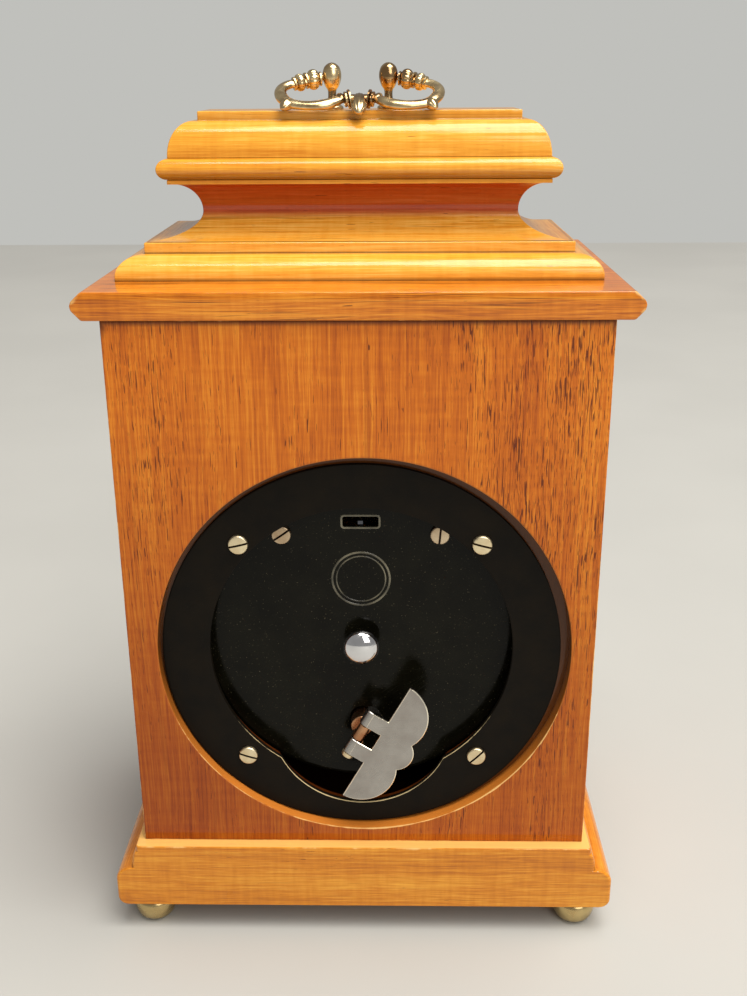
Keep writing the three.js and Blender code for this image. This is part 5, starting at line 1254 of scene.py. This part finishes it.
def smooth_path(points, steps):
    """Even points on a Catmull-Rom curve through the given ones."""
    points = np.asarray(points, float)
    padded = np.vstack([2 * points[0] - points[1], points, 2 * points[-1] - points[-2]])
    t = np.linspace(0, 1, 24, endpoint=False)[:, None]
    p0, p1, p2, p3 = (padded[k:len(padded) - 3 + k, None] for k in range(4))
    curve = 0.5 * (2 * p1 + (p2 - p0) * t + (2 * p0 - 5 * p1 + 4 * p2 - p3) * t ** 2
                   + (3 * p1 - p0 - 3 * p2 + p3) * t ** 3)
    curve = np.vstack([curve.reshape(-1, points.shape[1]), points[-1:]])
    run = np.concatenate([[0], np.cumsum(np.linalg.norm(np.diff(curve, axis=0), axis=1))])
    even = np.linspace(0, run[-1], steps)
    return np.stack([np.interp(even, run, column) for column in curve.T], 1), even


def bail_tube(path, radius, flat=0.72, sides=28):
    """Bar along a flat path: an ellipse across the path at every point, its radius given per point."""
    tangent = np.gradient(path, axis=0)
    tangent /= np.linalg.norm(tangent, axis=1, keepdims=True)
    normal = np.stack([-tangent[:, 1], tangent[:, 0]], 1)
    angle = around(sides)
    ring = radius[:, None] * np.cos(angle)[None]
    across = path[:, :1] + normal[:, :1] * ring
    out = path[:, 1:2] + normal[:, 1:2] * ring
    lift = flat * radius[:, None] * np.sin(angle)[None]
    return bail_points(across, out, lift)


def bail_knob(centre, direction, profile, flat=1.0, steps=32, flutes=(0, 0.0)):
    """Turned knob in the bail: profile rows are (radius, distance along the direction). flutes gives how
    many hollows run along it and their share of the radius."""
    profile = np.asarray(profile, float)
    direction = np.asarray(direction, float) / np.linalg.norm(direction)
    side = np.array([-direction[1], direction[0]])
    angle = around(steps)
    count, share = flutes
    hollow = 1 - share * np.abs(np.cos(count * angle / 2)) ** 3
    ring = profile[:, :1] * (hollow * np.cos(angle))[None]
    across = centre[0] + direction[0] * profile[:, 1:2] + side[0] * ring
    out = centre[1] + direction[1] * profile[:, 1:2] + side[1] * ring
    return bail_points(across, out, flat * profile[:, :1] * (hollow * np.sin(angle))[None])


def oval_profile(radius, half_length, steps=18):
    """Profile of an oval knob, from one pole to the other."""
    angle = np.linspace(0, np.pi, steps)
    return np.stack([radius * np.sin(angle), -half_length * np.cos(angle)], 1)


class CLOCK_OT_handle(bpy.types.Operator):
    """Makes the two baluster posts and the folding brass bail"""

    bl_idname = "clock.make_handle"
    bl_label = "Carrying handle"

    def execute(self, context):
        steps = context.scene.clock_sizes.turned_steps
        for side, node in ((-1, "handle_post_left"), (1, "handle_post_right")):
            self.make_post(node, side * 7.8, steps)
        self.make_bail()
        return {"FINISHED"}

    def make_post(self, node, across, steps):
        pivot, ball = PIVOT_RISE, 2.6
        outline = np.array([
            [0.0, -0.5], [3.1, -0.5], [3.1, 0.7], [2.35, 1.2], [2.0, 1.5], [1.3, 2.2], [1.1, 3.6],
            [1.15, pivot - 3.2], [ball * 0.75, pivot - 2.3], [ball, pivot - 0.4], [ball, pivot + 1.3],
            [ball * 0.8, pivot + 2.9], [0.9, pivot + 3.75], [0, pivot + 3.9]])
        soft = eased(outline, [0, 0.1, 0.3, 0.3, 0.2, 0.8, 0.8, 0.5, 0.9, 1.3, 1.4, 1.2, 0.5, 0], 5)
        quirk = np.clip(1.7 - soft[:, 0], 0, 1) * (soft[:, 1] < pivot - 2.5) * (soft[:, 1] > 1)
        profile = np.stack([soft[:, 0], soft[:, 1] + CAP_TOP], 1)
        build(f"turned_{node}", [upright(profile, across, TIER_MIDDLE, steps, quirk=quirk[:, None])], "case",
              finish_of("handle brass"), [node])

    def make_bail(self):
        half = [
            [10.9, 0.6], [13.6, 1.6], [16.4, 2.9], [19.2, 3.7], [21, 5.6], [21.5, 8.2], [20.7, 11.2],
            [18.7, 13.8], [15.4, 15], [11.6, 15.2], [8.2, 14.2], [5.2, 12.3], [2.6, 11.6], [0, 11.6]]
        whole = np.array(half + [[-across, out] for across, out in half[-2::-1]])
        path, run = smooth_path(whole, 300)
        end = np.minimum(run, run[-1] - run)
        middle = run[-1] / 2 - end
        radius = 1.42 + 0.3 * np.exp(-((end - 17) / 5) ** 2) + 0.3 * np.exp(-((middle - 10) / 4) ** 2)
        radius -= 0.3 * np.exp(-((middle - 4.2) / 1.2) ** 2)
        radius = radius * np.sqrt(np.clip(end / 0.8, 0, 1))
        quirk = (0.8 * np.exp(-((middle - 4.2) / 0.9) ** 2))[:, None]
        patches = [patch(bail_tube(path, radius), wrap_columns=True, quirk=quirk)]
        for side in (-1, 1):
            patches += self.side_knobs(side)
        egg = oval_profile(2.3, 4.9, 40)
        flutes = bail_knob((0, 14.4), (0, 1), egg, 0.8, 80, flutes=(10, 0.09))
        patches.append(patch(flutes, wrap_columns=True))
        build("brass_bail", patches, "handle", finish_of("handle brass"), ["handle_bail"])

    def side_knobs(self, side):
        angle = np.linspace(0, np.pi, 34)
        bead = np.stack([np.sin(angle) ** 0.6, -np.cos(angle)], 1)
        disc = [[0, -0.32], [0.8, -0.32], [1.0, -0.2], [1.0, 0.2], [0.8, 0.32], [0, 0.32]]
        leaf = np.array([[0, -2.9], [0.8, -2.2], [1.5, -1.0], [1.85, 0.2], [1.6, 1.4], [0.9, 2.5], [0, 3.1]])
        first, second = (side * 1, 0.22), (side * 1, 0.5)
        knobs = [
            bail_knob((side * 12.9, 1.1), first, bead * [2.7, 1.75], 1.0, 80, flutes=(14, 0.06)),
            bail_knob((side * 10.95, 0.7), first, np.multiply(disc, [1.9, 1])),
            bail_knob((side * 14.85, 1.75), second, np.multiply(disc, [2.15, 1])),
            bail_knob((side * 16.5, 2.7), second, bead * [2.35, 1.35], 1.0, 80, flutes=(12, 0.05)),
            bail_knob((side * 18.0, 3.4), second, np.multiply(disc, [1.8, 1])),
            bail_knob((side * 19.2, 14.3), (side * 0.55, 1), eased(leaf, 0.8, 5), 0.85, 60, flutes=(6, 0.1)),
            bail_knob((side * 5.0, 11.3), (side * 0.35, -1), oval_profile(1.25, 2.0), 0.9),
            bail_knob((side * 2.75, 11.9), (side * 1, 0.25), np.multiply(disc, [2.5, 1.1])),
            bail_knob((side * 3.7, 12.0), (side * 1, 0.25), np.multiply(disc, [2.0, 1])),
            bail_knob((side * 9.0, 0.0), (1, 0), [[0, -2.6], [0.85, -2.6], [0.85, 2.6], [0, 2.6]]),
        ]
        return [patch(points, wrap_columns=True) for points in knobs]


# ---------------------------------------------------------------- dial

def bar(start, end, width, from_deep, to_deep):
    """Straight flat bar between two dial points (across to the left of a person who faces the back, up)."""
    start, end = np.asarray(start, float), np.asarray(end, float)
    along = (end - start) / np.linalg.norm(end - start)
    side = np.array([-along[1], along[0]]) * width / 2
    corners = np.stack([start + side, end + side, end - side, start - side])
    rows = [np.stack([corners[:, 0], np.full(4, deep), corners[:, 1]], 1) for deep in (from_deep, to_deep)]
    return patch(np.stack(rows), wrap_columns=True, caps=(0, -1))


def dial_point(clock_angle, reach, sideways):
    """A dial point (across, up) at a clock angle, out from the centre and moved sideways."""
    sin, cos = np.sin(np.radians(clock_angle)), np.cos(np.radians(clock_angle))
    return np.array([0.0, CENTRE_UP]) + np.array([sin, cos]) * reach + np.array([cos, -sin]) * sideways


def annulus(inner, outer, from_deep, to_deep, steps=144, ease=0.0):
    """Flat ring round the centre arbor."""
    profile = [[inner, to_deep - ease], [inner + ease, to_deep], [outer - ease, to_deep],
               [outer, to_deep - ease], [outer, from_deep], [inner, from_deep]]
    made = facing_back(profile, (0, CENTRE_UP), steps)
    made["wrap"] = (True, True)
    return made


class CLOCK_OT_dial(bpy.types.Operator):
    """Makes the chapter ring with its numerals and minute track"""

    bl_idname = "clock.make_dial"
    bl_label = "Dial"

    def execute(self, context):
        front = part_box("chapter_ring")[0].y / MM
        face = BACK_Y - front
        thick = 0.8
        build("silvered_ring", [annulus(29.5, 41.5, face - thick, face - 0.06, ease=0.2)], "case",
              finish_of("silvered"), ["chapter_ring"])
        from_deep, to_deep = face - 0.16, face
        marks = [annulus(radius - 0.11, radius + 0.11, from_deep, to_deep) for radius in (30.3, 38.4, 40.7)]
        for minute in range(60):
            heavy = minute % 5 == 0
            marks.append(self.radial(minute * 6, 38.4, 40.7, 0.55 if heavy else 0.24, from_deep, to_deep))
        build("minute_track", marks, "case", finish_of("numeral black"))
        strokes = []
        for hour, text in enumerate("I II III IIII V VI VII VIII IX X XI XII".split(), 1):
            strokes += self.numeral(text, hour * 30, from_deep, to_deep)
        build("roman_numerals", strokes, "case", finish_of("numeral black"))
        return {"FINISHED"}

    def radial(self, clock_angle, inner, outer, width, from_deep, to_deep, shift=0.0, slant=0.0):
        """A bar towards the rim at a clock angle; shift and slant move its foot and its head sideways."""
        foot = dial_point(clock_angle, inner, shift - slant)
        head = dial_point(clock_angle, outer, shift + slant)
        return bar(foot, head, width, from_deep, to_deep)

    def numeral(self, text, clock_angle, from_deep, to_deep):
        widths = {"I": 1.35, "V": 3.0, "X": 3.0}
        shift = -sum(widths[letter] for letter in text) / 2
        low, high, thick, thin = 31.5, 37.2, 0.72, 0.26
        strokes = []

        def stroke(place, width, slant=0.0):
            strokes.append(self.radial(clock_angle, low, high, width, from_deep, to_deep, place, slant))

        for letter in text:
            middle = shift + widths[letter] / 2
            reach = widths[letter] / 2 - 0.1
            if letter == "I":
                stroke(middle, thick)
            elif letter == "V":
                stroke(middle - reach / 2, thick, -reach / 2)
                stroke(middle + reach / 2, thin, reach / 2)
            else:
                stroke(middle, thick, -reach)
                stroke(middle, thin, reach)
            for level in (low, high):
                strokes.append(self.serif(clock_angle, level, middle, reach, from_deep, to_deep))
            shift += widths[letter]
        return strokes

    def serif(self, clock_angle, level, middle, reach, from_deep, to_deep):
        start = dial_point(clock_angle, level, middle - reach)
        end = dial_point(clock_angle, level, middle + reach)
        return bar(start, end, 0.22, from_deep, to_deep)


class CLOCK_OT_finish(bpy.types.Operator):
    """Finishes the carried-over pieces of the dial and the movement"""

    bl_idname = "clock.finish_movement"
    bl_label = "Dial and movement finishes"

    def execute(self, context):
        table = {
            "matted brass": ["dial_plate"],
            "bright brass": ["dial_bezel", "spandrel_upper_left", "spandrel_upper_right",
                             "spandrel_lower_left", "spandrel_lower_right", "movement_back_plate",
                             "movement_front_plate", "movement_pillar_left", "movement_pillar_right",
                             "movement_pillar_lower", "mainspring_barrel", "intermediate_wheel",
                             "centre_wheel", "third_wheel", "fourth_wheel", "escape_wheel", "balance_wheel",
                             "escapement_bridge", "minute_wheel", "hour_wheel"],
            "hand blue": ["hour_hand", "minute_hand"],
            "plain steel": ["barrel_arbor", "ratchet_wheel", "ratchet_click", "centre_arbor", "pallet_lever"],
            "spring steel": ["mainspring", "regulator_lever"],
            "glass": ["dial_glass"],
        }
        for finish, nodes in table.items():
            for node in nodes:
                dress(node, finish_of(finish))
        return {"FINISHED"}


# ---------------------------------------------------------------- panel and registration

PIECES = (CLOCK_OT_stage, CLOCK_OT_plinth, CLOCK_OT_panels, CLOCK_OT_top, CLOCK_OT_ring, CLOCK_OT_cover,
          CLOCK_OT_screws, CLOCK_OT_knob, CLOCK_OT_key, CLOCK_OT_handle, CLOCK_OT_dial, CLOCK_OT_finish)


class CLOCK_PT_pieces(bpy.types.Panel):
    """Lists the clock's pieces in the sidebar of the 3D view"""

    bl_idname = "CLOCK_PT_pieces"
    bl_label = "Bracket clock"
    bl_space_type = "VIEW_3D"
    bl_region_type = "UI"
    bl_category = "Clock"

    def draw(self, context):
        column = self.layout.column()
        for piece in PIECES:
            column.operator(piece.bl_idname)


SETTINGS = {"clock_sizes": ClockSizes, "clock_colours": ClockColours, "clock_stage": ClockStage}


def register():
    for each in (*SETTINGS.values(), *PIECES, CLOCK_PT_pieces):
        bpy.utils.register_class(each)
    for name, group in SETTINGS.items():
        setattr(bpy.types.Scene, name, PointerProperty(type=group))


def unregister():
    for name in SETTINGS:
        delattr(bpy.types.Scene, name)
    for each in (CLOCK_PT_pieces, *reversed(PIECES), *reversed(SETTINGS.values())):
        bpy.utils.unregister_class(each)


def main():
    register()
    for piece in PIECES:
        section, name = piece.bl_idname.split(".")
        getattr(getattr(bpy.ops, section), name)()


if __name__ == "__main__":
    main()
